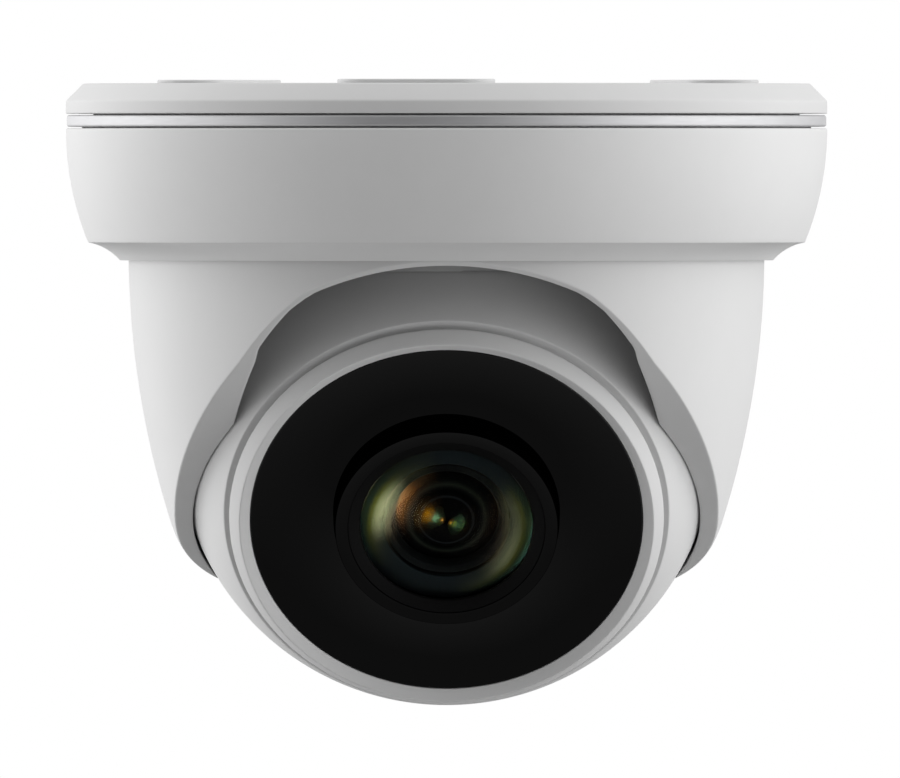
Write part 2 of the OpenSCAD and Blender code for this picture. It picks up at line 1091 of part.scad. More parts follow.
// Sliding carriage with the infrared filter over the sensor and a clear glass beside it
module ir_filter() {
    pane = 6.2;
    pitch = filter_travel;
    color([0.45, 0.65, 0.60, 0.7])
    lens_axis()
        translate([-pitch / 2, 0, 0])
            difference() {
                block(filter_length, filter_width, -0.65, 0.45);
                for (side = [-1, 1])
                    translate([side * pitch / 2, 0, 0])
                        block(pane, pane, 0, 1);
            }
}

base_plate();
cable_grommet();
trim_ring();
cover();
pan_friction_ring();
pan_retainer();
hood();
turntable();
turntable_screws();
pivot_screws();
tilt_washers();
front_shell();
rear_shell();
shell_screws();
rear_grommet();
bezel();
window_gasket();
front_window();
roll_clip();
head_frame();
frame_screws();
led_board();
led_board_screws();
ir_leds();
light_sensor();
light_seal();
led_ribbon();
lens_ring();
lens_barrel();
front_element();
lens_spacer();
second_element();
aperture_stop();
rear_element();
lens_holder();
filter_coil();
image_sensor();
sensor_board();
board_spacers();
board_connector();
main_board();
main_board_screws();
processor();
board_parts();
cable_socket();
ir_filter();
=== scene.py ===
import json
import math

import bmesh
import bpy
import numpy as np
from mathutils import Matrix, Vector


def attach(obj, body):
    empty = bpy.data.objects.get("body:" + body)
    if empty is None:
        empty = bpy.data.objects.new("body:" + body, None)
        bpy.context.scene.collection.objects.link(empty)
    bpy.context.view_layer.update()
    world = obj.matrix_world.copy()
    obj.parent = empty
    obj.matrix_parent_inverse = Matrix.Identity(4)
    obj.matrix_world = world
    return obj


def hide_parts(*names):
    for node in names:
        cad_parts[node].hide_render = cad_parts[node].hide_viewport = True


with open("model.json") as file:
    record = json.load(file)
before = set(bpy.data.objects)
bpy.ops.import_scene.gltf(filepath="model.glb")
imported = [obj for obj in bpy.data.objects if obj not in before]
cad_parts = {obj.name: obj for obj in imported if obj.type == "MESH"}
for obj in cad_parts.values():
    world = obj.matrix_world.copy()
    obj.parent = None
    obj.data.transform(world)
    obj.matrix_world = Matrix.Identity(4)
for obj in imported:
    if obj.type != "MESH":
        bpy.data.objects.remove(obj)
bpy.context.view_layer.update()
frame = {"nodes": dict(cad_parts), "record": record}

# Looks of the ceiling dome camera, built round its CAD frame. Lengths in the shape code are
# millimetres in one of three frames: PAN (the row frame), HOOD (upright, origin at the ball's
# centre) and LENS (the same origin, +Z out along the lens, +Y upwards across it). Meshes are
# written in metres in the row frame.
MM = 0.001

joints = {j["name"]: j for j in frame["record"]["behaviour"]["joints"]}
slots = {s["node"]: s["material_slot"] for s in frame["record"]["subparts"]}
body_of = {n: b for b, names in frame["record"]["behaviour"]["bodies"].items() for n in names}

lens_z = Vector(joints["roll"]["axis"]).normalized()
lens_x = Vector(joints["tilt"]["axis"]).normalized()
lens_y = lens_z.cross(lens_x)
BALL = Vector(joints["tilt"]["pos_m"])
PAN = Matrix.Identity(4)
LENS = Matrix.Translation(BALL) @ Matrix((lens_x, lens_y, lens_z)).transposed().to_4x4()
HOOD = Matrix.Translation(BALL)


# ---- Sizes read from the frame ----

class Reach:
    """Radii and heights of a CAD node about the Z axis of a frame, in millimetres."""

    def __init__(self, node, place):
        inverse = np.array(place.inverted())
        corners = np.array([v.co[:] for v in frame["nodes"][node].data.vertices])
        local = (corners @ inverse[:3, :3].T + inverse[:3, 3]) / MM
        radii = np.hypot(local[:, 0], local[:, 1])
        self.outer, self.inner = float(radii.max()), float(radii.min())
        self.low, self.high = float(local[:, 2].min()), float(local[:, 2].max())


# ---- Mesh building ----

def rounded(corners, steps=6):
    """Closed outline of (x, z) points from (x, z, radius) corners, each rounded by its radius."""
    outline = []
    count = len(corners)
    for i, (x, z, radius) in enumerate(corners):
        here = Vector((x, z))
        if radius <= 0:
            outline.append((x, z))
            continue
        back = Vector(corners[i - 1][:2]) - here
        ahead = Vector(corners[(i + 1) % count][:2]) - here
        room = 0.48 * min(back.length, ahead.length)
        back.normalize()
        ahead.normalize()
        half = math.acos(max(-1.0, min(1.0, back.dot(ahead)))) / 2
        if half > math.radians(89):
            outline.append((x, z))
            continue
        tangent = min(radius / math.tan(half), room)
        radius = tangent * math.tan(half)
        centre = here + (back + ahead).normalized() * (radius / math.sin(half))
        start = here + back * tangent - centre
        turn = start.angle_signed(here + ahead * tangent - centre)
        for k in range(steps + 1):
            a = -turn * k / steps
            spot = centre + Matrix.Rotation(a, 2) @ start
            outline.append((spot.x, spot.y))
    return outline


def on_circle(radius, angle):
    """The (x, y) point on a circle about the origin at an angle in degrees."""
    a = math.radians(angle)
    return radius * math.cos(a), radius * math.sin(a)


def ring_points(radius, count, x=0.0, y=0.0, start=0.0, sweep=360.0):
    """Points round a circle or along an arc of it."""
    steps = count if abs(sweep) >= 360 else count - 1
    spots = [on_circle(radius, start + sweep * k / steps) for k in range(count)]
    return [(x + along, y + up) for along, up in spots]


def arc(cx, cz, radius, start, end, steps):
    """Points along a circle from one angle to another, in degrees, with no rounding of their own."""
    return [(x, z, 0) for x, z in ring_points(radius, steps + 1, cx, cz, start, end - start)]


def mesh_piece(name, verts, faces, place=PAN, sharp=32):
    """A piece from vertices in millimetres in a frame; edges bent more than sharp degrees stay crisp."""
    mesh = bpy.data.meshes.new(name)
    mesh.from_pydata([place @ (Vector(v) * MM) for v in verts], [], faces)
    tidy_mesh(mesh, sharp)
    piece = bpy.data.objects.new(name, mesh)
    bpy.context.scene.collection.objects.link(piece)
    return piece


def tidy_mesh(mesh, sharp=32):
    """Outward normals, no loose bits, smooth shading with crisp edges."""
    work = bmesh.new()
    work.from_mesh(mesh)
    bmesh.ops.remove_doubles(work, verts=work.verts, dist=1e-7)
    bmesh.ops.dissolve_degenerate(work, edges=work.edges, dist=1e-8)
    bmesh.ops.recalc_face_normals(work, faces=work.faces)
    work.to_mesh(mesh)
    work.free()
    mesh.shade_smooth()
    mesh.set_sharp_from_angle(angle=math.radians(sharp))


def lathe(name, outline, place=PAN, turns=288, sharp=32):
    """Surface of revolution of an outline. One that starts and ends on the axis is left open there."""
    open_ended = abs(outline[0][0]) < 1e-6 and abs(outline[-1][0]) < 1e-6
    verts = []
    rings = []
    for x, z in outline:
        if abs(x) < 1e-6:
            rings.append([len(verts)] * turns)
            verts.append((0, 0, z))
            continue
        first = len(verts)
        rings.append(list(range(first, first + turns)))
        for k in range(turns):
            a = 2 * math.pi * k / turns
            verts.append((x * math.cos(a), x * math.sin(a), z))
    faces = []
    pairs = list(zip(rings, rings[1:]))
    if not open_ended:
        pairs.append((rings[-1], rings[0]))
    for near, far in pairs:
        for k in range(turns):
            m = (k + 1) % turns
            face = list(dict.fromkeys((near[k], near[m], far[m], far[k])))
            if len(face) > 2:
                faces.append(face)
    return mesh_piece(name, verts, faces, place, sharp)


def prism(name, outline, low, high, place=PAN, bevel=0.0, steps=3):
    """Upright block with the outline of (x, y) points, its two rims rounded by bevel."""
    area = sum(a[0] * b[1] - b[0] * a[1] for a, b in zip(outline, outline[1:] + outline[:1]))
    if area < 0:
        outline = outline[::-1]
    count = len(outline)
    inward = []
    for i in range(count):
        along = (Vector(outline[(i + 1) % count]) - Vector(outline[i - 1])).normalized()
        inward.append(Vector((-along.y, along.x)))
    layers = []
    levels = [(bevel * (1 - math.sin(t)), low + bevel * (1 - math.cos(t)))
              for t in [math.pi / 2 * k / steps for k in range(steps + 1)]] if bevel else [(0, low)]
    levels += [(inset, low + high - z) for inset, z in reversed(levels)]
    verts = []
    for inset, z in levels:
        layers.append(range(len(verts), len(verts) + count))
        for here, n in zip(outline, inward):
            verts.append((here[0] + n.x * inset, here[1] + n.y * inset, z))
    faces = [list(layers[0])[::-1], list(layers[-1])]
    for near, far in zip(layers, layers[1:]):
        for k in range(count):
            m = (k + 1) % count
            faces.append([near[k], near[m], far[m], far[k]])
    return mesh_piece(name, verts, faces, place)


def sector(inner, outer, middle, half, count=10):
    """Outline of part of a ring, half degrees each side of the middle angle."""
    return (ring_points(outer, count, start=middle - half, sweep=2 * half)
            + ring_points(inner, count, start=middle + half, sweep=-2 * half))


def stadium(length, width, radius, angle, count=20):
    """Outline with round ends, long side along the tangent, on a circle about the origin."""
    turn = Matrix.Rotation(math.radians(angle), 2)
    straight = (length - width) / 2
    ends = ring_points(width / 2, count, radius, straight, 0, 180)
    ends += ring_points(width / 2, count, radius, -straight, 180, 180)
    return [tuple(turn @ Vector(p)) for p in ends]


def combine(piece, others, operation):
    """Adds or cuts the other pieces by an exact boolean, and removes them."""
    for other in others:
        change = piece.modifiers.new("change", "BOOLEAN")
        change.operation = operation
        change.solver = "EXACT"
        change.object = other
        graph = bpy.context.evaluated_depsgraph_get()
        made = bpy.data.meshes.new_from_object(piece.evaluated_get(graph))
        piece.modifiers.clear()
        piece.data = made
        bpy.data.objects.remove(other)
    tidy_mesh(piece.data)


def add(piece, *others):
    combine(piece, others, "UNION")


def cut(piece, *others):
    combine(piece, others, "DIFFERENCE")


# ---- Finishes ----

# Colours painted on the second glass by the share of its radius: the dark middle is painted shade of the
# lens's depth, the lighter rings near 0.44 and 0.63 are painted reflections off the barrel's ridges,
# elsewhere black
PAINTED_DEPTH_AND_GLINT_RINGS = [
    (0.0, 0.0006), (0.06, 0.0006), (0.08, 0.003), (0.41, 0.0025), (0.43, (0.011, 0.013, 0.014)),
    (0.445, (0.011, 0.013, 0.014)), (0.46, 0.003), (0.53, 0.0016), (0.58, (0.005, 0.006, 0.005)),
    (0.63, (0.014, 0.017, 0.012)), (0.68, (0.005, 0.006, 0.005)), (0.72, 0.0028),
    (0.84, 0.0018), (1.0, 0.0018),
]
# Images of the light in the lens: radius of the surface that makes one, tint, strength, blur
IMAGES = [
    (8.4, (1.0, 0.4, 0.01), 0.04, 0.09),
    (4.6, (0.5, 1.0, 0.5), 0.042, 0.11),
    (1.9, (1.0, 0.45, 0.08), 0.045, 0.1),
    (-5.2, (0.48, 1.0, 0.3), 0.007, 0.16),
    (-2.8, (0.8, 1.0, 0.1), 0.022, 0.12),
    (-1.5, (1.0, 0.5, 0.05), 0.045, 0.1),
    (28.0, (1.0, 0.36, 0.08), 0.042, 0.14),
]
LEFT_ONLY = 5                    # images from surfaces flatter than this fade out on the right
RING_ONLY = 9                    # images from surfaces flatter than this show in one ring only
FRONT_R, STACK_R = 10.6, 7.35    # radii that the coats of the front glass and the inner glasses reach


class Nodes:
    """A material or world under construction: one short call per node, values set on its sockets."""

    def __init__(self, owner):
        owner.use_nodes = True
        self.tree = owner.node_tree
        self.tree.nodes.clear()

    def put(self, socket, value):
        if isinstance(value, bpy.types.NodeSocket):
            self.tree.links.new(value, socket)
        elif value is not None:
            socket.default_value = value

    def node(self, kind, inputs=None, **settings):
        made = self.tree.nodes.new(kind)
        for key, value in settings.items():
            setattr(made, key, value)
        for key, value in (inputs or {}).items():
            self.put(made.inputs[key], value)
        return made

    def math(self, operation, a, b=None, c=None):
        made = self.node("ShaderNodeMath", operation=operation)
        for socket, value in zip(made.inputs, (a, b, c)):
            self.put(socket, value)
        return made.outputs[0]

    def along(self, vector, direction):
        """Distance of a point along a direction."""
        made = self.node("ShaderNodeVectorMath", {0: vector, 1: direction}, operation="DOT_PRODUCT")
        return made.outputs["Value"]

    def ramp(self, factor, stops, interpolation="LINEAR"):
        """Colour ramp from (position, colour or grey) stops."""
        made = self.node("ShaderNodeValToRGB", {"Fac": factor})
        made.color_ramp.interpolation = interpolation
        marks = made.color_ramp.elements
        while len(marks) < len(stops):
            marks.new(0.5)
        for mark, (position, colour) in zip(marks, stops):
            mark.position = position
            mark.color = (*colour, 1) if isinstance(colour, tuple) else (colour,) * 3 + (1,)
        return made.outputs["Color"]

    def place(self, scale=(1.0, 1.0, 1.0)):
        """Position on the piece in millimetres, each axis multiplied by its scale."""
        where = self.node("ShaderNodeTexCoord").outputs["Object"]
        scale = [s / MM for s in scale]
        return self.node("ShaderNodeMapping", {"Vector": where, "Scale": scale}).outputs["Vector"]

    def noise(self, vector, scale, detail=3.0, roughness=0.5):
        return self.node("ShaderNodeTexNoise", {
            "Vector": vector, "Scale": scale, "Detail": detail, "Roughness": roughness,
        }).outputs["Fac"]

    def spread(self, factor, low, high, start=0.3, end=0.7):
        """A factor from start to end becomes a value from low to high."""
        return self.node("ShaderNodeMapRange", {
            "Value": factor, "From Min": start, "From Max": end, "To Min": low, "To Max": high,
        }).outputs["Result"]

    def shade(self, colour, factor, amount):
        """The colour, up to amount darker where the factor is low."""
        darker = self.ramp(factor, [(0.3, 1 - amount), (0.7, 1.0)])
        return self.mix(1.0, colour, darker, blend_type="MULTIPLY")

    def mix(self, factor, a, b, **settings):
        inputs = {"Factor": factor, "A": a, "B": b}
        return self.node("ShaderNodeMix", inputs, data_type="RGBA", **settings).outputs["Result"]

    def bump(self, height, depth, under=None):
        """Normal for relief of a depth in millimetres."""
        inputs = {"Height": height, "Distance": depth * MM, "Strength": 1.0, "Normal": under}
        return self.node("ShaderNodeBump", inputs).outputs["Normal"]

    def surface(self, shader):
        out = self.node("ShaderNodeOutputMaterial")
        self.tree.links.new(shader, out.inputs["Surface"])

    def principled(self, **inputs):
        made = self.node("ShaderNodeBsdfPrincipled")
        for key, value in inputs.items():
            self.put(made.inputs[key.replace("_", " ")], value)
        self.surface(made.outputs["BSDF"])


def rgb(r, g, b):
    return (r, g, b, 1.0)


FINISH = {}


def finish_named(name):
    """The nodes of a new material, which is kept under its name."""
    FINISH[name] = bpy.data.materials.new(name)
    return Nodes(FINISH[name])


def moulded(name, colour, rough=0.42, grain=2.2, depth=0.006, mottle=0.02, specular=0.5, coat=0.0):
    """Injection moulded plastic: fine spark texture, faint flow marks, uneven gloss."""
    n = finish_named(name)
    where = n.place()
    fine = n.noise(where, grain, 4.0, 0.6)
    broad = n.noise(where, 0.06, 3.0)
    cloud = n.noise(where, 0.35, 2.0)
    relief = n.bump(fine, depth, under=n.bump(broad, 0.03))
    n.principled(
        Base_Color=n.shade(n.shade(rgb(*colour), broad, mottle), cloud, mottle * 0.6),
        Roughness=n.spread(cloud, rough - 0.025, rough + 0.025),
        Specular_IOR_Level=specular,
        Coat_Weight=coat,
        Coat_Roughness=0.2,
        Normal=relief,
    )


def rubber(name, colour=(0.018, 0.018, 0.019)):
    n = finish_named(name)
    where = n.place()
    specks = n.noise(where, 3.5, 5.0, 0.7)
    bloom = n.noise(where, 0.25, 3.0)
    n.principled(
        Base_Color=n.mix(n.spread(bloom, 0.0, 0.35), rgb(*colour), rgb(*(c * 2.1 for c in colour))),
        Roughness=n.spread(specks, 0.62, 0.78),
        Specular_IOR_Level=0.35,
        Sheen_Weight=0.08,
        Normal=n.bump(specks, 0.012),
    )


def turned(name, colour, rough=0.28, lines=(0.4, 0.4, 14.0), depth=0.0012):
    """Metal with fine lines round its axis, as rolled, turned or spun."""
    n = finish_named(name)
    where = n.place(lines)
    grooves = n.noise(where, 1.0, 3.0, 0.6)
    stain = n.noise(n.place(), 0.12, 2.0)
    n.principled(
        Base_Color=n.shade(rgb(*colour), stain, 0.05),
        Metallic=1.0,
        Roughness=n.spread(grooves, rough - 0.06, rough + 0.06),
        Normal=n.bump(grooves, depth),
    )


def plated(name, colour, rough=0.25, pits=1.4):
    """Zinc or nickel plate on a small screw or clip."""
    n = finish_named(name)
    where = n.place()
    grain = n.noise(where, pits, 4.0, 0.65)
    tarnish = n.noise(where, 0.5, 3.0)
    n.principled(
        Base_Color=n.shade(rgb(*colour), tarnish, 0.14),
        Metallic=1.0,
        Roughness=n.spread(grain, rough - 0.05, rough + 0.1),
        Normal=n.bump(grain, 0.004),
    )


def dark_window(name, inked_from, inked_to):
    """Polished black face with a trace of moulding ripple. Between two distances from the lens axis
    the edge of the part is inked matt, and mirrors nothing."""
    n = finish_named(name)
    where = n.place()
    radius, *_ = lens_place(n)
    matt = between(n, radius, inked_from, inked_to)
    ripple = n.noise(where, 0.05, 1.0)
    dust = n.noise(where, 2.5, 6.0, 0.8)
    n.principled(
        Base_Color=n.mix(n.spread(ripple, 0.0, 1.0), rgb(*[0.0002] * 3), rgb(*[0.0004] * 3)),
        Roughness=n.spread(dust, 0.015, 0.03),
        Specular_IOR_Level=n.math("MULTIPLY_ADD", matt, -0.5, 0.5),
        Normal=n.bump(ripple, 0.0015),
    )


def black_coat(name, colour=(0.0025, 0.0025, 0.0026), rough=0.3, specular=0.22, grain=3.0, depth=0.003):
    """Black anodised, painted or moulded face."""
    n = finish_named(name)
    where = n.place()
    fine = n.noise(where, grain, 3.0, 0.6)
    wear = n.noise(where, 0.3, 3.0)
    n.principled(
        Base_Color=n.mix(n.spread(wear, 0.0, 0.5), rgb(*colour), rgb(*(c * 1.7 for c in colour))),
        Roughness=n.spread(fine, rough - 0.05, rough + 0.05),
        Specular_IOR_Level=specular,
        Normal=n.bump(fine, depth),
    )


def lens_place(n):
    """Distance of a point from the lens axis, its places across and up, and its distance along the axis."""
    where = n.node("ShaderNodeTexCoord").outputs["Object"]
    point = n.node("ShaderNodeVectorMath", {0: where, 1: BALL}, operation="SUBTRACT").outputs["Vector"]
    across = n.along(point, lens_x / MM)
    up = n.along(point, lens_y / MM)
    total = n.math("ADD", n.math("MULTIPLY", across, across), n.math("MULTIPLY", up, up))
    return n.math("SQRT", total), across, up, n.along(point, lens_z / MM)


def between(n, value, low, high):
    """One where a value lies between two limits, nought elsewhere."""
    return n.math("MULTIPLY", n.math("GREATER_THAN", value, low), n.math("LESS_THAN", value, high))


def along_bearing(n, radius, across, up, bearing=158.0):
    """One along a line through the lens axis at a bearing in degrees, falling to nought away from it."""
    a = math.radians(bearing)
    reach = n.math("ADD", n.math("MULTIPLY", across, math.cos(a)), n.math("MULTIPLY", up, math.sin(a)))
    share = n.math("DIVIDE", n.math("ABSOLUTE", reach), n.math("MAXIMUM", radius, 0.01))
    return n.spread(share, 0.0, 1.0, math.cos(math.radians(62)), math.cos(math.radians(20)))


def coated(name, bands, reach, clear=(0.95, 0.97, 0.97), gain=1.0, rough=0.012, index=1.6, streak=False):
    """Coated lens glass that bends light. The tint of its reflection changes with the distance to the axis,
    and a streaked coat mirrors most along one bearing."""
    n = finish_named(name)
    radius, across, up, _ = lens_place(n)
    tint = n.ramp(n.math("DIVIDE", radius, reach), bands, "EASE")
    smear = n.noise(n.place(), 0.4, 3.0)
    edge = n.node("ShaderNodeFresnel", {"IOR": index}).outputs["Fac"]
    share = n.math("MINIMUM", n.math("MULTIPLY", edge, gain), 1.0)
    if streak:
        most = along_bearing(n, radius, across, up)
        share = n.math("MULTIPLY", share, n.math("MULTIPLY_ADD", most, 0.96, 0.04))
    bent = n.node("ShaderNodeBsdfRefraction", {"Color": rgb(*clear), "Roughness": 0.0, "IOR": index})
    mirror = n.node("ShaderNodeBsdfAnisotropic", {
        "Color": n.shade(tint, smear, 0.06), "Roughness": n.spread(smear, rough, rough + 0.015),
    })
    glass = n.node("ShaderNodeMixShader", {0: share, 1: bent.outputs[0], 2: mirror.outputs[0]})
    open_way = n.node("ShaderNodeBsdfTransparent", {"Color": rgb(*clear)})
    shadow = n.node("ShaderNodeLightPath").outputs["Is Shadow Ray"]
    whole = n.node("ShaderNodeMixShader", {0: shadow, 1: glass.outputs[0], 2: open_way.outputs[0]})
    n.surface(whole.outputs[0])


def image_of(n, across, up, bow):
    """The normal of a surface in the lens with a radius of curvature, for the image that it sends back."""
    total = n.node("ShaderNodeCombineXYZ", dict(enumerate(lens_z))).outputs[0]
    for direction, reach in ((lens_x, across), (lens_y, up)):
        share = n.math("DIVIDE", reach, bow)
        lean = n.node("ShaderNodeVectorMath", {0: direction, "Scale": share}, operation="SCALE")
        total = n.node("ShaderNodeVectorMath", {0: total, 1: lean.outputs[0]}, operation="ADD").outputs[0]
    return n.node("ShaderNodeVectorTransform", {"Vector": total}, vector_type="NORMAL",
                  convert_from="OBJECT", convert_to="WORLD").outputs[0]


def inked(name, reach):
    """Second glass of the lens: black ink round its rim, the rings of the barrel painted in its middle,
    with painted shade for the lens's depth and painted reflections off its ridges, and the small tinted
    images that the surfaces under it send back."""
    n = finish_named(name)
    radius, across, up, _ = lens_place(n)
    smear = n.noise(n.place(), 0.8, 3.0)
    # rings of painted shade for the lens's depth and painted reflections off the barrel's ridges
    rings = n.ramp(n.math("DIVIDE", radius, reach), PAINTED_DEPTH_AND_GLINT_RINGS)
    ground = n.node("ShaderNodeBsdfPrincipled", {
        "Base Color": n.shade(rings, smear, 0.1), "Roughness": n.spread(smear, 0.4, 0.5),
        "Specular IOR Level": 0.0,
    })
    total = ground.outputs[0]
    streak = along_bearing(n, radius, across, up)
    left = n.spread(across, 1.0, 0.05, -2.5, 1.0)
    ringed = n.math("MULTIPLY", n.spread(radius, 0.15, 1.0, 4.0, 5.4), n.spread(radius, 1.0, 0.1, 6.0, 7.0))
    for bow, tint, strength, spread in IMAGES:
        size = abs(bow)
        image = n.node("ShaderNodeBsdfAnisotropic", {
            "Color": rgb(*(c * strength for c in tint)), "Roughness": spread,
            "Normal": image_of(n, across, up, bow),
        })
        ends = n.spread(radius, 1.0, 0.0, size * 0.38, size * 0.5)
        starts = n.spread(radius, 0.0, 1.0, size * 0.12, size * 0.2)
        inside = n.math("MULTIPLY", streak, n.math("MULTIPLY", ends, starts))
        if bow > LEFT_ONLY:
            inside = n.math("MULTIPLY", inside, left)
        if bow > RING_ONLY:
            inside = n.math("MULTIPLY", inside, ringed)
        none = n.node("ShaderNodeBsdfTransparent", {"Color": rgb(0, 0, 0)})
        masked = n.node("ShaderNodeMixShader", {0: inside, 1: none.outputs[0], 2: image.outputs[0]})
        total = n.node("ShaderNodeAddShader", {0: total, 1: masked.outputs[0]}).outputs[0]
    n.surface(total)


def circuit(name):
    """Green circuit board: solder mask over copper tracks, plated pads and rows of small parts' lands."""
    n = finish_named(name)
    where = n.place()
    cells = n.node("ShaderNodeTexVoronoi", {"Vector": where, "Scale": 0.55}, feature="DISTANCE_TO_EDGE",
                   distance="EUCLIDEAN")
    tracks = n.spread(cells.outputs["Distance"], 1.0, 0.0, 0.03, 0.07)
    dots = n.node("ShaderNodeTexVoronoi", {"Vector": where, "Scale": 0.8, "Randomness": 0.35})
    pads = n.spread(dots.outputs["Distance"], 1.0, 0.0, 0.16, 0.2)
    weave = n.noise(where, 2.0, 3.0)
    mask = n.mix(tracks, n.shade(rgb(0.004, 0.055, 0.022), weave, 0.25), rgb(0.012, 0.11, 0.05))
    n.principled(
        Base_Color=n.mix(pads, mask, rgb(0.62, 0.5, 0.24)),
        Metallic=pads,
        Roughness=n.spread(weave, 0.28, 0.4),
        Normal=n.bump(tracks, 0.03, under=n.bump(weave, 0.01)),
    )


def clear_dome(name):
    """Clear epoxy lamp: a hazy pale grey, partly see-through body under a clear coat."""
    n = finish_named(name)
    where = n.place()
    haze = n.noise(where, 1.5, 3.0)
    n.principled(
        Base_Color=n.mix(n.spread(haze, 0.0, 1.0), rgb(0.5, 0.52, 0.5), rgb(0.62, 0.63, 0.6)),
        Roughness=n.spread(haze, 0.06, 0.14),
        Transmission_Weight=0.55,
        IOR=1.5,
        Coat_Weight=0.6,
    )


def wound(name):
    """Enamelled copper wire wound on a bobbin."""
    n = finish_named(name)
    turns = n.node("ShaderNodeTexWave", {"Vector": n.place(), "Scale": 1.6, "Distortion": 0.6,
                                         "Detail": 2.0}, wave_type="BANDS", bands_direction="X")
    enamel = n.noise(n.place(), 0.8, 3.0)
    n.principled(
        Base_Color=n.shade(rgb(0.52, 0.2, 0.07), enamel, 0.3),
        Metallic=0.85,
        Roughness=n.spread(enamel, 0.28, 0.4),
        Normal=n.bump(turns.outputs["Fac"], 0.05),
    )


WINDOW_HOLE = Reach("front_window", LENS).inner
moulded("white_housing", (0.68, 0.68, 0.68), 0.42)
# Grey inner plastic, made darker as painted shade for the parts under the hood's lip
moulded("inner_plastic", (0.36, 0.36, 0.36), 0.5, grain=1.6, depth=0.01)
turned("trim_metal", (0.59, 0.59, 0.6), 0.6)
rubber("rubber_black")
moulded("slip_ring", (0.075, 0.075, 0.08), 0.5, grain=1.2, depth=0.01)
plated("screw_steel", (0.60, 0.60, 0.585))
dark_window("black_window", WINDOW_HOLE - 1, WINDOW_HOLE + 0.04)
dark_window("black_ring", 13.64, 14.5)
black_coat("black_plastic", (0.012, 0.012, 0.0125), 0.45, 0.4, 2.0, 0.008)
black_coat("lens_black", (0.004, 0.004, 0.0042), 0.38, 0.3, 4.0, 0.004)
coated("filter_glass", [(0.0, (0.35, 0.9, 0.8)), (1.0, (0.9, 0.4, 0.5))], 8.0, (0.62, 0.86, 0.84), 1.6)
plated("spring_steel", (0.5, 0.5, 0.5), 0.32, 2.4)
circuit("board")
clear_dome("lamp_clear")
moulded("ribbon", (0.55, 0.33, 0.09), 0.3, grain=0.9, depth=0.004, mottle=0.12, coat=0.4)
plated("brass", (0.72, 0.52, 0.22), 0.3)
wound("copper_coil")
moulded("chip_black", (0.02, 0.02, 0.021), 0.5, grain=5.0, depth=0.006, mottle=0.1)
moulded("socket_white", (0.68, 0.65, 0.56), 0.4, grain=1.5, depth=0.006)
turned("sensor_die", (0.12, 0.1, 0.16), 0.12, (6.0, 6.0, 6.0), 0.0006)
coated("front_glass", [
    (0.0, (0.1, 0.1, 0.07)), (0.35, (0.05, 0.05, 0.04)), (0.55, (0.05, 0.04, 0.03)),
    (0.62, (0.14, 0.11, 0.07)), (0.68, (0.36, 0.33, 0.18)), (0.74, (0.5, 0.55, 0.29)),
    (0.8, (0.95, 1.0, 0.52)), (0.85, (0.9, 1.0, 0.42)), (0.89, (0.5, 0.55, 0.06)),
    (0.95, (0.08, 0.18, 0.11)), (1.0, (0.03, 0.07, 0.07)),
], FRONT_R, streak=True)
coated("inner_glass", [
    (0.0, (0.7, 1.0, 0.55)), (0.35, (1.0, 0.75, 0.35)), (0.7, (0.9, 0.4, 0.2)), (1.0, (0.35, 0.6, 0.7)),
], STACK_R)
inked("lens_stack", STACK_R)
FINISH["lens_glass"] = FINISH["inner_glass"]
# Painted light: a lighter copy of the housing's white plastic, so that the cover reads brighter
moulded("cover_white_painted_lighter", (0.725, 0.725, 0.725), 0.42)


def barrel_finish(name, seat_from, seat_to):
    """Black anodised barrel. The seat seen through the front glass is painted a shade bluer and lighter, a
    painted sheen for the teal coat of the glass, and grows darker towards the glass's rim.
    """
    n = finish_named(name)
    radius, _, _, depth = lens_place(n)
    fine = n.noise(n.place(), 3.0, 3.0)
    seat = between(n, radius, seat_from, seat_to)
    seat = n.math("MULTIPLY", seat, n.math("GREATER_THAN", depth, 18.0))
    # painted sheen: the seat lighter and bluer near the bore, darker towards the glass's rim
    glow = n.ramp(n.spread(radius, 0.0, 1.0, seat_from, seat_to), [
        (0.0, (0.0098, 0.0135, 0.0155)), (0.6, (0.0085, 0.0115, 0.0135)), (1.0, (0.0024, 0.0034, 0.0045)),
    ])
    n.principled(
        Base_Color=n.mix(seat, n.shade(rgb(0.0045, 0.0045, 0.0046), fine, 0.2), glow),
        Roughness=n.spread(fine, 0.5, 0.6),
        Specular_IOR_Level=0.06,
        Normal=n.bump(fine, 0.002),
    )


barrel_finish("barrel_black", 7.4, 10.68)
black_coat("spacer_grey", (0.0055, 0.006, 0.006), 0.5, 0.02, 2.0, 0.002)


def dress(piece, finish):
    """Gives a piece the finish of a name."""
    piece.data.materials.clear()
    piece.data.materials.append(FINISH[finish])


def stand_for(piece, node, finish=None):
    """The piece is shown in place of a CAD node, rides on its body and takes its finish."""
    dress(piece, finish or slots[node])
    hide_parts(node)
    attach(piece, body_of[node])


def turned_part(node, corners, place=LENS, turns=256, sharp=32, steps=6, finish=None):
    """A part that is one surface of revolution with rounded corners, shown in place of its CAD node."""
    stand_for(lathe(node + "_body", rounded(corners, steps), place, turns, sharp), node, finish)


# ---- Ceiling base: plate, grommet, trim ring, cover ----

plate = Reach("base_plate", PAN)
cover = Reach("cover", PAN)
trim = Reach("trim_ring", PAN)
grommet = Reach("cable_grommet", PAN)
bolts = next(m["dims"] for m in frame["record"]["mounts"] if m["name"] == "ceiling_screws")
BOLT_CIRCLE = bolts["pcd_mm"] / 2
BOLT_HOLE = bolts["hole_r_mm"]
BOLT_START = 23.9
BOLT_ANGLES = [BOLT_START + 360 / bolts["count"] * k for k in range(bolts["count"])]

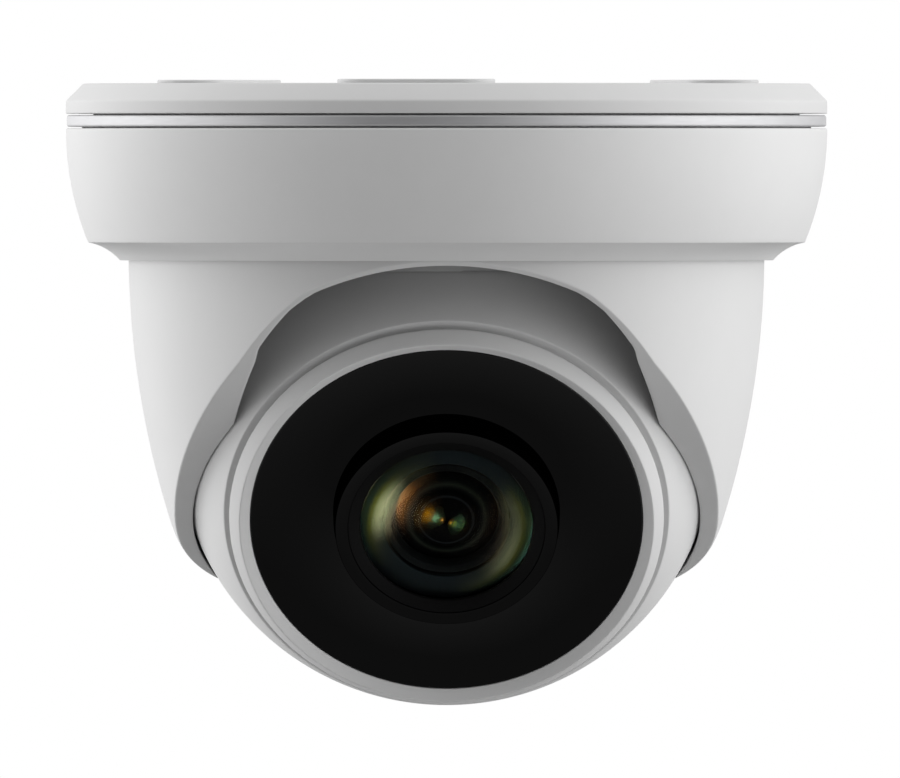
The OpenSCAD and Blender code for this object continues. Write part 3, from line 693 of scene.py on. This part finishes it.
PAD = 0.5                        # height of the mounting pads
PAD_LONG, PAD_WIDE = 19.4, 9.4
CHAMFER = 2.15
SEAM = 0.17                      # gap above and below the trim ring
LIP, LIP_R = -1.2, 7.5           # recess for the grommet's upper lip
INLET_R = 6.5
CABLE_R = 3.0
UNDERSIDE = -2.7
SKIRT, SKIRT_IN = 43.6, 41.7
BOSS_R, BOSS_DEEP = 5, 1.7
RIBS, RIB_HALF, RIB_DEEP = 9, 0.6, 1.2
RIB_FROM, RIB_TO = 10, 41.9
LOCKS = 3                        # bayonet locks between base and cover
TAB_TOP, TAB_LOW = -8, -9.6
base_edge = trim.high + SEAM

base = lathe("base_plate_body", rounded([
    (LIP_R, -PAD, 0.15), (plate.outer - CHAMFER, -PAD, 0.5), (plate.outer, -PAD - CHAMFER, 0.5),
    (plate.outer, base_edge, 0.18), (SKIRT, base_edge, 0), (SKIRT, plate.low, 0.25),
    (SKIRT_IN, plate.low, 0.25), (SKIRT_IN, UNDERSIDE, 0.4), (INLET_R, UNDERSIDE, 0.15),
    (INLET_R, LIP, 0), (LIP_R, LIP, 0),
], 5))
extra = []
tools = []
for angle in BOLT_ANGLES:
    x, y = on_circle(BOLT_CIRCLE, angle)
    pad = stadium(PAD_LONG, PAD_WIDE, BOLT_CIRCLE, angle)
    boss = ring_points(BOSS_R, 48, x, y)
    extra.append(prism("pad", pad, -PAD - 0.4, 0, bevel=0.18))
    extra.append(prism("boss", boss, UNDERSIDE - BOSS_DEEP, UNDERSIDE + 0.4, bevel=0.2))
    tools.append(prism("bolt_hole", ring_points(BOLT_HOLE, 48, x, y), -6, 1))
for k in range(RIBS):
    turn = Matrix.Rotation(math.radians(BOLT_ANGLES[0] + 20 + 360 / RIBS * k), 2)
    corners = ((RIB_FROM, -RIB_HALF), (RIB_TO, -RIB_HALF), (RIB_TO, RIB_HALF), (RIB_FROM, RIB_HALF))
    edges = [tuple(turn @ Vector(p)) for p in corners]
    extra.append(prism("rib", edges, UNDERSIDE - RIB_DEEP, UNDERSIDE + 0.3))
for k in range(LOCKS):
    middle = 360 / LOCKS * k
    run = sector(SKIRT - 3, SKIRT + 1, middle + 8.5, 18.5, 24)
    entry = sector(SKIRT - 3.5, SKIRT + 1.5, middle + 19, 9, 16)
    tools.append(prism("lock_run", run, TAB_LOW - 0.3, TAB_TOP + 0.3))
    tools.append(prism("lock_entry", entry, plate.low - 1, TAB_TOP + 0.15))
add(base, *extra)
cut(base, *tools)
stand_for(base, "base_plate")

turned_part("cable_grommet", [
    (CABLE_R, grommet.high, 0.3), (LIP_R, grommet.high, 0.2), (LIP_R, LIP, 0), (INLET_R, LIP, 0),
    (INLET_R, UNDERSIDE, 0), (grommet.outer, UNDERSIDE, 0.1), (grommet.outer, grommet.low, 0.5),
    (CABLE_R, grommet.low, 0.5),
], PAN, 128)

turned_part("trim_ring", [
    (trim.inner, trim.high, 0.1), (trim.outer, trim.high, 0.32),
    (trim.outer, trim.low, 0.32), (trim.inner, trim.low, 0.1),
], PAN, 288, steps=8)

SHOULDER = trim.low - SEAM
COVER_BOW = 37.4                 # bow of the cover's side
COVE = (45.36, cover.low - 4.41, 6.7)
HIP = (44.24, -20.11)            # where the side turns into the hollow curve
LEDGE, LIP_TOP = -15.2, -19.6
UPPER_BORE, LOWER_BORE = 43.9, 43.0
bow_x = plate.outer - COVER_BOW
cove_in = math.sqrt(COVE[2] ** 2 - (cover.low - COVE[1]) ** 2)
cover_side = arc(bow_x, SHOULDER, COVER_BOW, -0.9, -21.2, 40)
cove_from = math.degrees(math.atan2(cover.low - COVE[1], -cove_in))
cove_side = arc(*COVE, 101.5, cove_from - 4, 18)
neck = trim.inner - 0.05
cover_body = lathe("cover_body", rounded([
    (neck, cover.high, 0.2), (neck, SHOULDER, 0.05), (plate.outer, SHOULDER, 0.3), *cover_side,
    (*HIP, 0.22), *cove_side, (COVE[0] - cove_in, cover.low, 0.12),
    (cover.inner, cover.low, 0.22), (cover.inner, LIP_TOP, 0.25), (LOWER_BORE, LIP_TOP, 0.2),
    (LOWER_BORE, LEDGE, 0.15), (UPPER_BORE, LEDGE, 0.1), (UPPER_BORE, cover.high, 0.2),
], 6), turns=360)
tabs = []
for k in range(LOCKS):
    tab = sector(SKIRT - 1.1, 44.2, 360 / LOCKS * k, 8, 20)
    tabs.append(prism("lock_tab", tab, TAB_LOW, TAB_TOP, bevel=0.15))
add(cover_body, *tabs)
stand_for(cover_body, "cover", "cover_white_painted_lighter")


# ---- Hood ----

hood = Reach("hood", PAN)
ball = Reach("front_shell", HOOD)
DROP = BALL.z / MM
SEAT = ball.outer + 0.12
LAND = hood.low + 0.05
HOOD_R = 39.25
COLLAR_LOW = -21.5               # the collar is straight down to here
BORE = 38.5                      # bore inside the collar, down to the taper
TAPER = (BORE, -28.5)
FLARE = (37.6, -33.4)
NECK_IN = (33.45, -42.2)

# The slanted opening, in distances from the ball's centre: away from the face, and along it
SLANT = math.radians(47)
BOW_R, BOW_AT, BOW_AWAY = 165, 17, 13.2
RAMP_FROM, RAMP_TO, RAMP_AWAY = 25, 37.6, 13.3
FLAT_AWAY = 10.95


def material_left(radius, z, front):
    """How far a point lies behind the hood's slanted opening and above its lower edge: below nought when it
    is cut away. The opening is a long bow with a ramp and a flat at its upper end. The front is 1 straight
    ahead and -1 straight behind."""
    away = math.cos(SLANT) * front * radius + math.sin(SLANT) * (DROP - z)
    along = math.sin(SLANT) * front * radius + math.cos(SLANT) * (z - DROP)
    edge = BOW_AWAY - BOW_R + math.sqrt(BOW_R ** 2 - (along - BOW_AT) ** 2)
    if along > RAMP_FROM:
        share = (along - RAMP_FROM) / (RAMP_TO - RAMP_FROM)
        edge = min(edge, max(FLAT_AWAY, RAMP_AWAY - (RAMP_AWAY - FLAT_AWAY) * share))
    return min(edge - away, z - LAND)


def hood_outside():
    """The hood's outer side from its straight collar down to the edge under the ball."""
    bow, bow_top = 111.0, -21.0
    heel_x, heel_z, heel_r = 23.2, -51.9, 11.1
    heel_from = -55.3
    points = [(HOOD_R, COLLAR_LOW)]
    for k in range(1, 241):
        z = COLLAR_LOW + (heel_from - COLLAR_LOW) * k / 240
        points.append((HOOD_R - bow + math.sqrt(bow ** 2 - (z - bow_top) ** 2), z))
    first = math.asin((heel_z - heel_from) / heel_r)
    for k in range(1, 121):
        a = first + (math.radians(66) - first) * k / 120
        points.append((heel_x + heel_r * math.cos(a), heel_z - heel_r * math.sin(a)))
    return points


def hood_inside():
    """The hood's inner side from the bore down past the ball's widest line to the lower edge."""
    points = [(BORE, COLLAR_LOW + (TAPER[1] - COLLAR_LOW) * k / 40) for k in range(41)]
    corners = [TAPER, FLARE, NECK_IN, (SEAT, DROP)]
    for (x0, z0), (x1, z1) in zip(corners, corners[1:]):
        points += [(x0 + (x1 - x0) * k / 30, z0 + (z1 - z0) * k / 30) for k in range(1, 31)]
    for k in range(1, 161):
        a = math.radians(34) * k / 160
        reach = SEAT + 0.2 * min(1, max(0, (math.degrees(a) - 9) / 12))
        points.append((reach * math.cos(a), DROP - reach * math.sin(a)))
    return points


def cut_short(points, front):
    """The part of a side above the opening, ending exactly on it."""
    kept = [points[0]]
    for (x0, z0), (x1, z1) in zip(points, points[1:]):
        over0 = material_left(x0, z0, front)
        over1 = material_left(x1, z1, front)
        if over1 <= 0:
            t = over0 / (over0 - over1)
            kept.append((x0 + (x1 - x0) * t, z0 + (z1 - z0) * t))
            return kept
        kept.append((x1, z1))
    return kept


def resampled(points, count, short=0.0):
    """Evenly spaced points along a line, which stops short of its end by a length."""
    p = np.array(points)
    run = np.concatenate([[0], np.cumsum(np.hypot(*np.diff(p, axis=0).T))])
    stops = np.linspace(0, run[-1] - short, count)
    return [(float(np.interp(s, run, p[:, 0])), float(np.interp(s, run, p[:, 1]))) for s in stops]


def eased(a, corner, b, steps):
    """Points that round a corner between two points on its sides, both ends left out."""
    made = []
    for k in range(1, steps):
        t = k / steps
        made.append(tuple((1 - t) ** 2 * p + 2 * t * (1 - t) * q + t * t * r
                          for p, q, r in zip(a, corner, b)))
    return made


def hood_section(front):
    """Closed outline of the hood at one bearing, with the same number of points at each."""
    outer = cut_short(OUTSIDE, front)
    inner = cut_short(INSIDE, front)
    o, i = Vector(outer[-1]), Vector(inner[-1])
    face = i - o
    width = max(face.length, 1e-6)
    ends = []
    for side, start, toward, radius in ((outer, o, face, 0.42), (inner, i, -face, 0.24)):
        back = (Vector(side[-min(6, len(side))]) - start).normalized()
        half = max(0.12, back.angle(toward, 1.0) / 2)
        ends.append(min(radius / math.tan(half), 0.46 * width, 0.9))
    near_o, near_i = ends
    outer = resampled(outer, 70, near_o)
    inner = resampled(inner, 70, near_i)
    face_o = o + face * (near_o / width)
    face_i = i - face * (near_i / width)
    across = [tuple(face_o.lerp(face_i, t)) for t in (0, 0.25, 0.5, 0.75, 1)]
    return (COLLAR + outer + eased(outer[-1], tuple(o), across[0], 6) + across
            + eased(across[-1], tuple(i), inner[-1], 6) + inner[::-1])


OUTSIDE = hood_outside()
INSIDE = hood_inside()
flange_low = hood.high - 1.7
COLLAR = rounded([
    (BORE, COLLAR_LOW + 0.1, 0), (BORE, hood.high, 0.2), (hood.outer, hood.high, 0.3),
    (hood.outer, flange_low, 0.3), (HOOD_R, flange_low, 0.3), (HOOD_R, COLLAR_LOW + 0.1, 0),
], 6)[1:-1]


def hood_mesh(turns=540):
    """The hood's sections joined all round its axis."""
    verts, faces = [], []
    for k in range(turns):
        a = 2 * math.pi * k / turns
        section = hood_section(-math.sin(a))
        count = len(section)
        verts += [(x * math.cos(a), x * math.sin(a), z) for x, z in section]
    for k in range(turns):
        m = (k + 1) % turns
        for j in range(count):
            n = (j + 1) % count
            faces.append((k * count + j, m * count + j, m * count + n, k * count + n))
    return mesh_piece("hood_body", verts, faces, sharp=40)


hood_body = hood_mesh()
POST_CIRCLE, POST_R = 36.1, 2.5  # bosses for the turntable's screws
posts = []
for angle in (-20, 45, 135, 200):
    outline = ring_points(POST_R, 40, *on_circle(POST_CIRCLE, angle))
    posts.append(prism("post", outline, -31.5, -20.8, bevel=0.2))
add(hood_body, *posts)
stand_for(hood_body, "hood")


# ---- Ball ----

def sphere_r(radius, depth):
    """Radius of a sphere's circle at a distance along the lens from the ball's centre."""
    return math.sqrt(radius ** 2 - depth ** 2)


def ball_arc(radius, low, high, steps):
    """A line along a sphere about the ball's centre, between two distances along the lens."""
    start, end = (math.degrees(math.asin(depth / radius)) for depth in (low, high))
    return arc(0, 0, radius, start, end, steps)


def at_screws(name, radius, low, high, bevel=0.0, count=40):
    """A round block at each of the three screws that hold the shells together."""
    rims = [ring_points(radius, count, *on_circle(SCREW_CIRCLE, angle)) for angle in (90, 210, 330)]
    return [prism(name, rim, low, high, LENS, bevel) for rim in rims]


def sideways(side):
    """The lens frame turned so that its Z runs out along the tilt axis."""
    return LENS @ Matrix.Rotation(math.radians(90 * side), 4, "Y")


shell = Reach("front_shell", LENS)
back = Reach("rear_shell", LENS)
SPHERE = ball.outer - 0.03
HOLLOW = SPHERE - 2.2
SPLIT = shell.low                # plane between front and rear shell
RIM = 18.8                       # front edge of the sphere
SLEEVE_R, STEP_R = 24.7, 26.2    # bore for the head, and the step in front of it
LINING = 15.0                    # the hollow ends here
SCREW_CIRCLE = 28.6
front_body = lathe("front_shell_body", rounded([
    (SLEEVE_R, LINING, 0.1), (SLEEVE_R, shell.high, 0.12), (STEP_R, shell.high, 0.14), (STEP_R, RIM, 0.05),
    (sphere_r(SPHERE, RIM), RIM, 0.25), *ball_arc(SPHERE, RIM - 0.6, SPLIT + 0.5, 44),
    (sphere_r(SPHERE, SPLIT), SPLIT, 0.16), (sphere_r(HOLLOW, SPLIT), SPLIT, 0.1),
    *ball_arc(HOLLOW, SPLIT + 0.5, 14.5, 30), (sphere_r(HOLLOW, LINING), LINING, 0.1),
], 6), LENS, turns=384)
roll_stop = prism("roll_stop", sector(24.9, 28.9, -90, 2.3, 6), 11.8, 13.35, LENS, 0.12)
screw_bosses = at_screws("screw_boss", 2.4, SPLIT + 0.5, 3, 0.15, 32)
pivot_bosses = [prism("pivot_boss", ring_points(3.95, 40), 30.1, 31.6, sideways(side), 0.1)
                for side in (1, -1)]
add(front_body, roll_stop, *screw_bosses, *pivot_bosses)
cut(front_body, *[prism("pivot_bore", ring_points(2.05, 40), 29, SPHERE + 1, sideways(side))
                  for side in (1, -1)])
stand_for(front_body, "front_shell")

FLAT = -31.4                     # outer face of the flat at the back
PLATE = FLAT + 2.2
REAR_TOP = SPLIT - 0.1
TONGUE_R, TONGUE_TOP = 30.69, -4 # the rim that enters the front shell
GROMMET_NECK = 5.55
rear_body = lathe("rear_shell_body", rounded([
    (5.6, PLATE, 0.2), (5.6, FLAT, 0.3), (sphere_r(SPHERE, FLAT), FLAT, 0.4),
    *ball_arc(SPHERE, FLAT + 0.9, REAR_TOP - 0.5, 60),
    (sphere_r(SPHERE, REAR_TOP), REAR_TOP, 0.16), (30.34, REAR_TOP, 0.05), (TONGUE_R, TONGUE_TOP, 0.2),
    (29.28, TONGUE_TOP, 0.2), (28.15, -9, 0.1), (sphere_r(HOLLOW, -9), -9, 0.1),
    *ball_arc(HOLLOW, -9.8, PLATE + 0.9, 40), (sphere_r(HOLLOW, PLATE), PLATE, 0.3),
], 6), LENS, turns=384)
cut(rear_body,
    *at_screws("screw_way", 2.2, -26, -11.5),
    *at_screws("screw_clear", 1.25, -13, 0, count=32),
    *at_screws("lip_notch", 2.8, REAR_TOP, 3, count=32))
stand_for(rear_body, "rear_shell")

turned_part("rear_grommet", [
    (2.6, back.low - 0.8, 0.3), (6.8, back.low - 0.8, 0.45), (6.8, FLAT, 0), (GROMMET_NECK, FLAT, 0),
    (GROMMET_NECK, PLATE, 0), (7.0, PLATE, 0), (7.0, PLATE + 1, 0.35), (2.6, PLATE + 1, 0.3),
], turns=128)


# ---- Camera head ----

bezel = Reach("bezel", LENS)
window = Reach("front_window", LENS)
guard = Reach("lens_ring", LENS)
SLEEVE_OUT, SLEEVE_IN = 24.65, 21.4
CLIP_R, CLIP_LOW, CLIP_HIGH = 23.8, 14.0, 14.7   # groove for the retaining clip
BEZEL_BACK = 19.6                # rear edge of the part that follows the sphere
WINDOW_SEAT = 18.6
window_edge = window.outer + 0.05
turned_part("bezel", [
    (SLEEVE_IN, bezel.low, 0.15), (SLEEVE_OUT, bezel.low, 0.2), (SLEEVE_OUT, CLIP_LOW, 0),
    (CLIP_R, CLIP_LOW, 0), (CLIP_R, CLIP_HIGH, 0), (SLEEVE_OUT, CLIP_HIGH, 0), (SLEEVE_OUT, BEZEL_BACK, 0),
    (sphere_r(SPHERE, BEZEL_BACK), BEZEL_BACK, 0.2), *ball_arc(SPHERE, 19.95, bezel.high - 0.35, 6),
    (sphere_r(SPHERE, bezel.high), bezel.high, 0.16), (window_edge, window.high, 0.12),
    (window_edge, WINDOW_SEAT, 0), (SLEEVE_IN, WINDOW_SEAT, 0.1),
], turns=384)

turned_part("front_window", [
    (window.inner, window.low, 0.05), (window.outer, window.low, 0.05),
    (window.outer, window.high, 0.12), (window.inner, window.high, 0.06),
], turns=384, sharp=50)

RING_IN, RING_OUT = 12.16, 13.7
RING_FLANGE = 14.0               # front of the flange behind the window
turned_part("lens_ring", [
    (RING_IN, guard.low, 0), (guard.outer, guard.low, 0.1), (guard.outer, RING_FLANGE, 0.1),
    (RING_OUT, RING_FLANGE, 0), (RING_OUT, guard.high, 0.05), (RING_IN, guard.high, 0.0),
], turns=384, sharp=50, steps=8)

barrel = Reach("lens_barrel", LENS)
glass = Reach("front_element", LENS)
THREAD_IN, THREAD_OUT = 5.2, 8.0
BORE_R, BORE_LOW = 7.4, 12.6     # bore for the inner glasses, and its floor
GLASS_EDGE = 21.7
glass_seat = glass.outer + 0.1
turned_part("lens_barrel", [
    (THREAD_IN, barrel.low, 0.1), (THREAD_OUT, barrel.low, 0.2), (THREAD_OUT, 10, 0), (10.8, 11, 0.2),
    (12.1, 14.6, 0.2), (12.12, barrel.high, 0.04), (glass_seat, GLASS_EDGE, 0.1),
    (glass_seat, glass.low, 0), (BORE_R, glass.low, 0.1), (BORE_R, BORE_LOW, 0),
    (THREAD_IN, BORE_LOW, 0.05),
], sharp=40, finish="barrel_black")


def domed(node, finish, edge, dome, lift=0.0, hollow=0.0, clear=0.0, steps=48):
    """A glass element shown in place of its CAD node: a dome above an edge, a flat or hollowed back."""
    size = Reach(node, LENS)
    radius, low = size.outer, size.low + lift
    centre = edge - math.sqrt(dome ** 2 - radius ** 2)
    spread = math.degrees(math.asin(radius / dome))
    line = [(x, z) for x, z, _ in arc(0, centre, dome, 90, 90 - spread, steps)]
    line[0] = (0.0, line[0][1])
    line.append((radius, low))
    if hollow:
        heart = low - math.sqrt(hollow ** 2 - clear ** 2)
        wide = math.degrees(math.asin(clear / hollow))
        line += [(x, z) for x, z, _ in arc(0, heart, hollow, 90 - wide, 90, steps)]
    else:
        line.append((0.0, low))
    line[-1] = (0.0, line[-1][1])
    stand_for(lathe(node + "_body", line, LENS, turns=256, sharp=30), node, finish)


domed("front_element", "front_glass", 21.5, 26.0, 0.02, 16.0, 7.3)
domed("second_element", "lens_stack", 17.2, 12.0)
domed("rear_element", "inner_glass", 4.6, 8.0)
spacer = Reach("lens_spacer", LENS)
SPACER_OUT = 7.2
turned_part("lens_spacer", [
    (spacer.inner, spacer.low, 0), (SPACER_OUT, spacer.low, 0), (SPACER_OUT, spacer.high, 0.08),
    (spacer.inner + 0.25, spacer.high, 0.08), (spacer.inner, spacer.high - 0.5, 0),
], steps=4, finish="spacer_grey")
stop = Reach("aperture_stop", LENS)
turned_part("aperture_stop", [
    (stop.inner, stop.low, 0), (stop.outer, stop.low, 0), (stop.outer, stop.high, 0),
    (stop.inner + 0.4, stop.high, 0),
], turns=192, steps=4)


# ---- CAD nodes shown as they are ----

for name, node in frame["nodes"].items():
    if node.hide_render:
        continue
    dress(node, slots[name])


# ---- Setting ----

world = bpy.data.worlds.new("studio")
bpy.context.scene.world = world
n = Nodes(world)
direction = n.node("ShaderNodeTexCoord").outputs["Generated"]
right = n.along(direction, (1, 0, 0))
front = n.along(direction, (0, -1, 0))
up = n.along(direction, (0, 0, 1))
bearing = n.math("MULTIPLY_ADD", n.math("ARCTAN2", right, front), 0.5 / math.pi, 0.5)
# Soft boxes round the camera: from and to a bearing in degrees, where nought is in front, and the radiance
SIDE_BOXES = [(-120, -90, 1.9), (70, 93, 2.25), (135, 225, 0.65), (-225, -135, 0.65)]
UNDER_BOXES = [(-105, -75, 1.35), (-20, 20, 0.4), (60, 85, 1.15)]
SOFT_EDGE = 50
TOP_LIGHT, LOW_LIGHT, PEAK = 1.0, 0.1, 2.5


def round_about(boxes):
    """Light by bearing, as a share of the peak. Each box fades to nought over a soft edge at both ends."""
    stops = []
    for angle in range(-180, 181, 12):
        level = 0.0
        for start, end, radiance in boxes:
            outside = max(start - angle, angle - end, 0)
            level += radiance * max(0.0, 1 - outside / SOFT_EDGE)
        stops.append(((angle + 180) / 360, level / PEAK))
    return n.ramp(bearing, stops)


def climb(start, end):
    """Rises from nought to one between two heights above the horizon, in degrees."""
    return n.spread(up, 0.0, 1.0, math.sin(math.radians(start)), math.sin(math.radians(end)))


light = n.mix(climb(-10, -35), round_about(SIDE_BOXES), round_about(UNDER_BOXES))
light = n.mix(climb(30, 65), light, rgb(*[TOP_LIGHT / PEAK] * 3))
light = n.mix(climb(-40, -62), light, rgb(*[LOW_LIGHT / PEAK] * 3))
lit = n.node("ShaderNodeBackground", {"Color": light, "Strength": PEAK})
seen = n.node("ShaderNodeBackground", {"Color": rgb(1, 1, 1), "Strength": 1.0})
eye = n.node("ShaderNodeLightPath").outputs["Is Camera Ray"]
both = n.node("ShaderNodeMixShader", {0: eye, 1: lit.outputs[0], 2: seen.outputs[0]})
out = n.node("ShaderNodeOutputWorld")
n.tree.links.new(both.outputs[0], out.inputs["Surface"])


def unseen_by(piece, *rays):
    for kind in rays:
        setattr(piece, "visible_" + kind, False)


def card(name, angles, leans, radiance, receivers):
    """A soft-edged light that only the lens mirrors, seen in its dome between two bearings round the
    lens axis and two leans of its surface, in degrees, with the camera straight in front."""
    toward = Vector((0, -1, 0))
    distance = 0.6
    across, along = 24, 16
    verts, glow = [], []
    for i in range(along + 1):
        for k in range(across + 1):
            turn = math.radians(angles[0] + (angles[1] - angles[0]) * k / across)
            lean = math.radians(leans[0] + (leans[1] - leans[0]) * i / along)
            outward = math.cos(turn) * lens_x + math.sin(turn) * lens_y
            normal = math.cos(lean) * lens_z + math.sin(lean) * outward
            away = 2 * normal.dot(toward) * normal - toward
            verts.append((BALL + away * distance) / MM)
            glow.append(math.sin(math.pi * k / across) ** 2 * math.sin(math.pi * i / along) ** 2)
    faces = []
    for i in range(along):
        for k in range(across):
            a = i * (across + 1) + k
            faces.append((a, a + 1, a + across + 2, a + across + 1))
    piece = mesh_piece(name, verts, faces, sharp=180)
    layer = piece.data.attributes.new("glow", "FLOAT", "POINT")
    for v in piece.data.vertices:
        nearest = min(range(len(verts)), key=lambda q: (verts[q] * MM - v.co).length_squared)
        layer.data[v.index].value = glow[nearest]
    n = finish_named(name)
    level = n.node("ShaderNodeAttribute", attribute_name="glow").outputs["Fac"]
    strength = n.math("MULTIPLY", level, radiance)
    lamp = n.node("ShaderNodeEmission", {"Color": rgb(1, 1, 1), "Strength": strength})
    clear = n.node("ShaderNodeBsdfTransparent", {"Color": rgb(1, 1, 1)})
    n.surface(n.node("ShaderNodeAddShader", {0: lamp.outputs[0], 1: clear.outputs[0]}).outputs[0])
    dress(piece, name)
    unseen_by(piece, "camera", "diffuse", "shadow")
    piece.light_linking.receiver_collection = receivers


lens_only = bpy.data.collections.new("lens_only")
for name in ("front_element_body", "second_element_body"):
    lens_only.objects.link(bpy.data.objects[name])
card("card_left", (122, 196), (10, 23), 7.5, lens_only)
card("card_right", (-62, 14), (10, 23), 1.5, lens_only)

FLOOR_Z, FLOOR_R, FLOOR_SIDES = -250, 1400, 96
floor_verts = [(x, y, FLOOR_Z) for x, y in ring_points(FLOOR_R, FLOOR_SIDES)]
floor = mesh_piece("studio_floor", floor_verts, [list(range(FLOOR_SIDES))])
n = finish_named("studio_paper")
fibre = n.noise(n.place((0.05, 0.05, 0.05)), 1.0, 4.0)
n.surface(n.node("ShaderNodeEmission", {"Color": n.shade(rgb(0.93, 0.93, 0.93), fibre, 0.01)}).outputs[0])
dress(floor, "studio_paper")
unseen_by(floor, "diffuse", "glossy", "transmission", "shadow")

# Long lens straight in front, a little under the ceiling
CAMERA_AT = Vector((0, -4.3205, -0.0106))
CAMERA_AIM = Vector((0.00043, 0, -0.0382))
camera = bpy.data.objects.new("camera", bpy.data.cameras.new("camera"))
bpy.context.scene.collection.objects.link(camera)
camera.data.lens = 1400
camera.data.sensor_width = 36
camera.data.clip_end = 20
camera.location = CAMERA_AT
camera.rotation_mode = "QUATERNION"
camera.rotation_quaternion = (CAMERA_AIM - CAMERA_AT).to_track_quat("-Z", "Y")
bpy.context.scene.camera = camera
bpy.context.scene.view_settings.view_transform = "Standard"
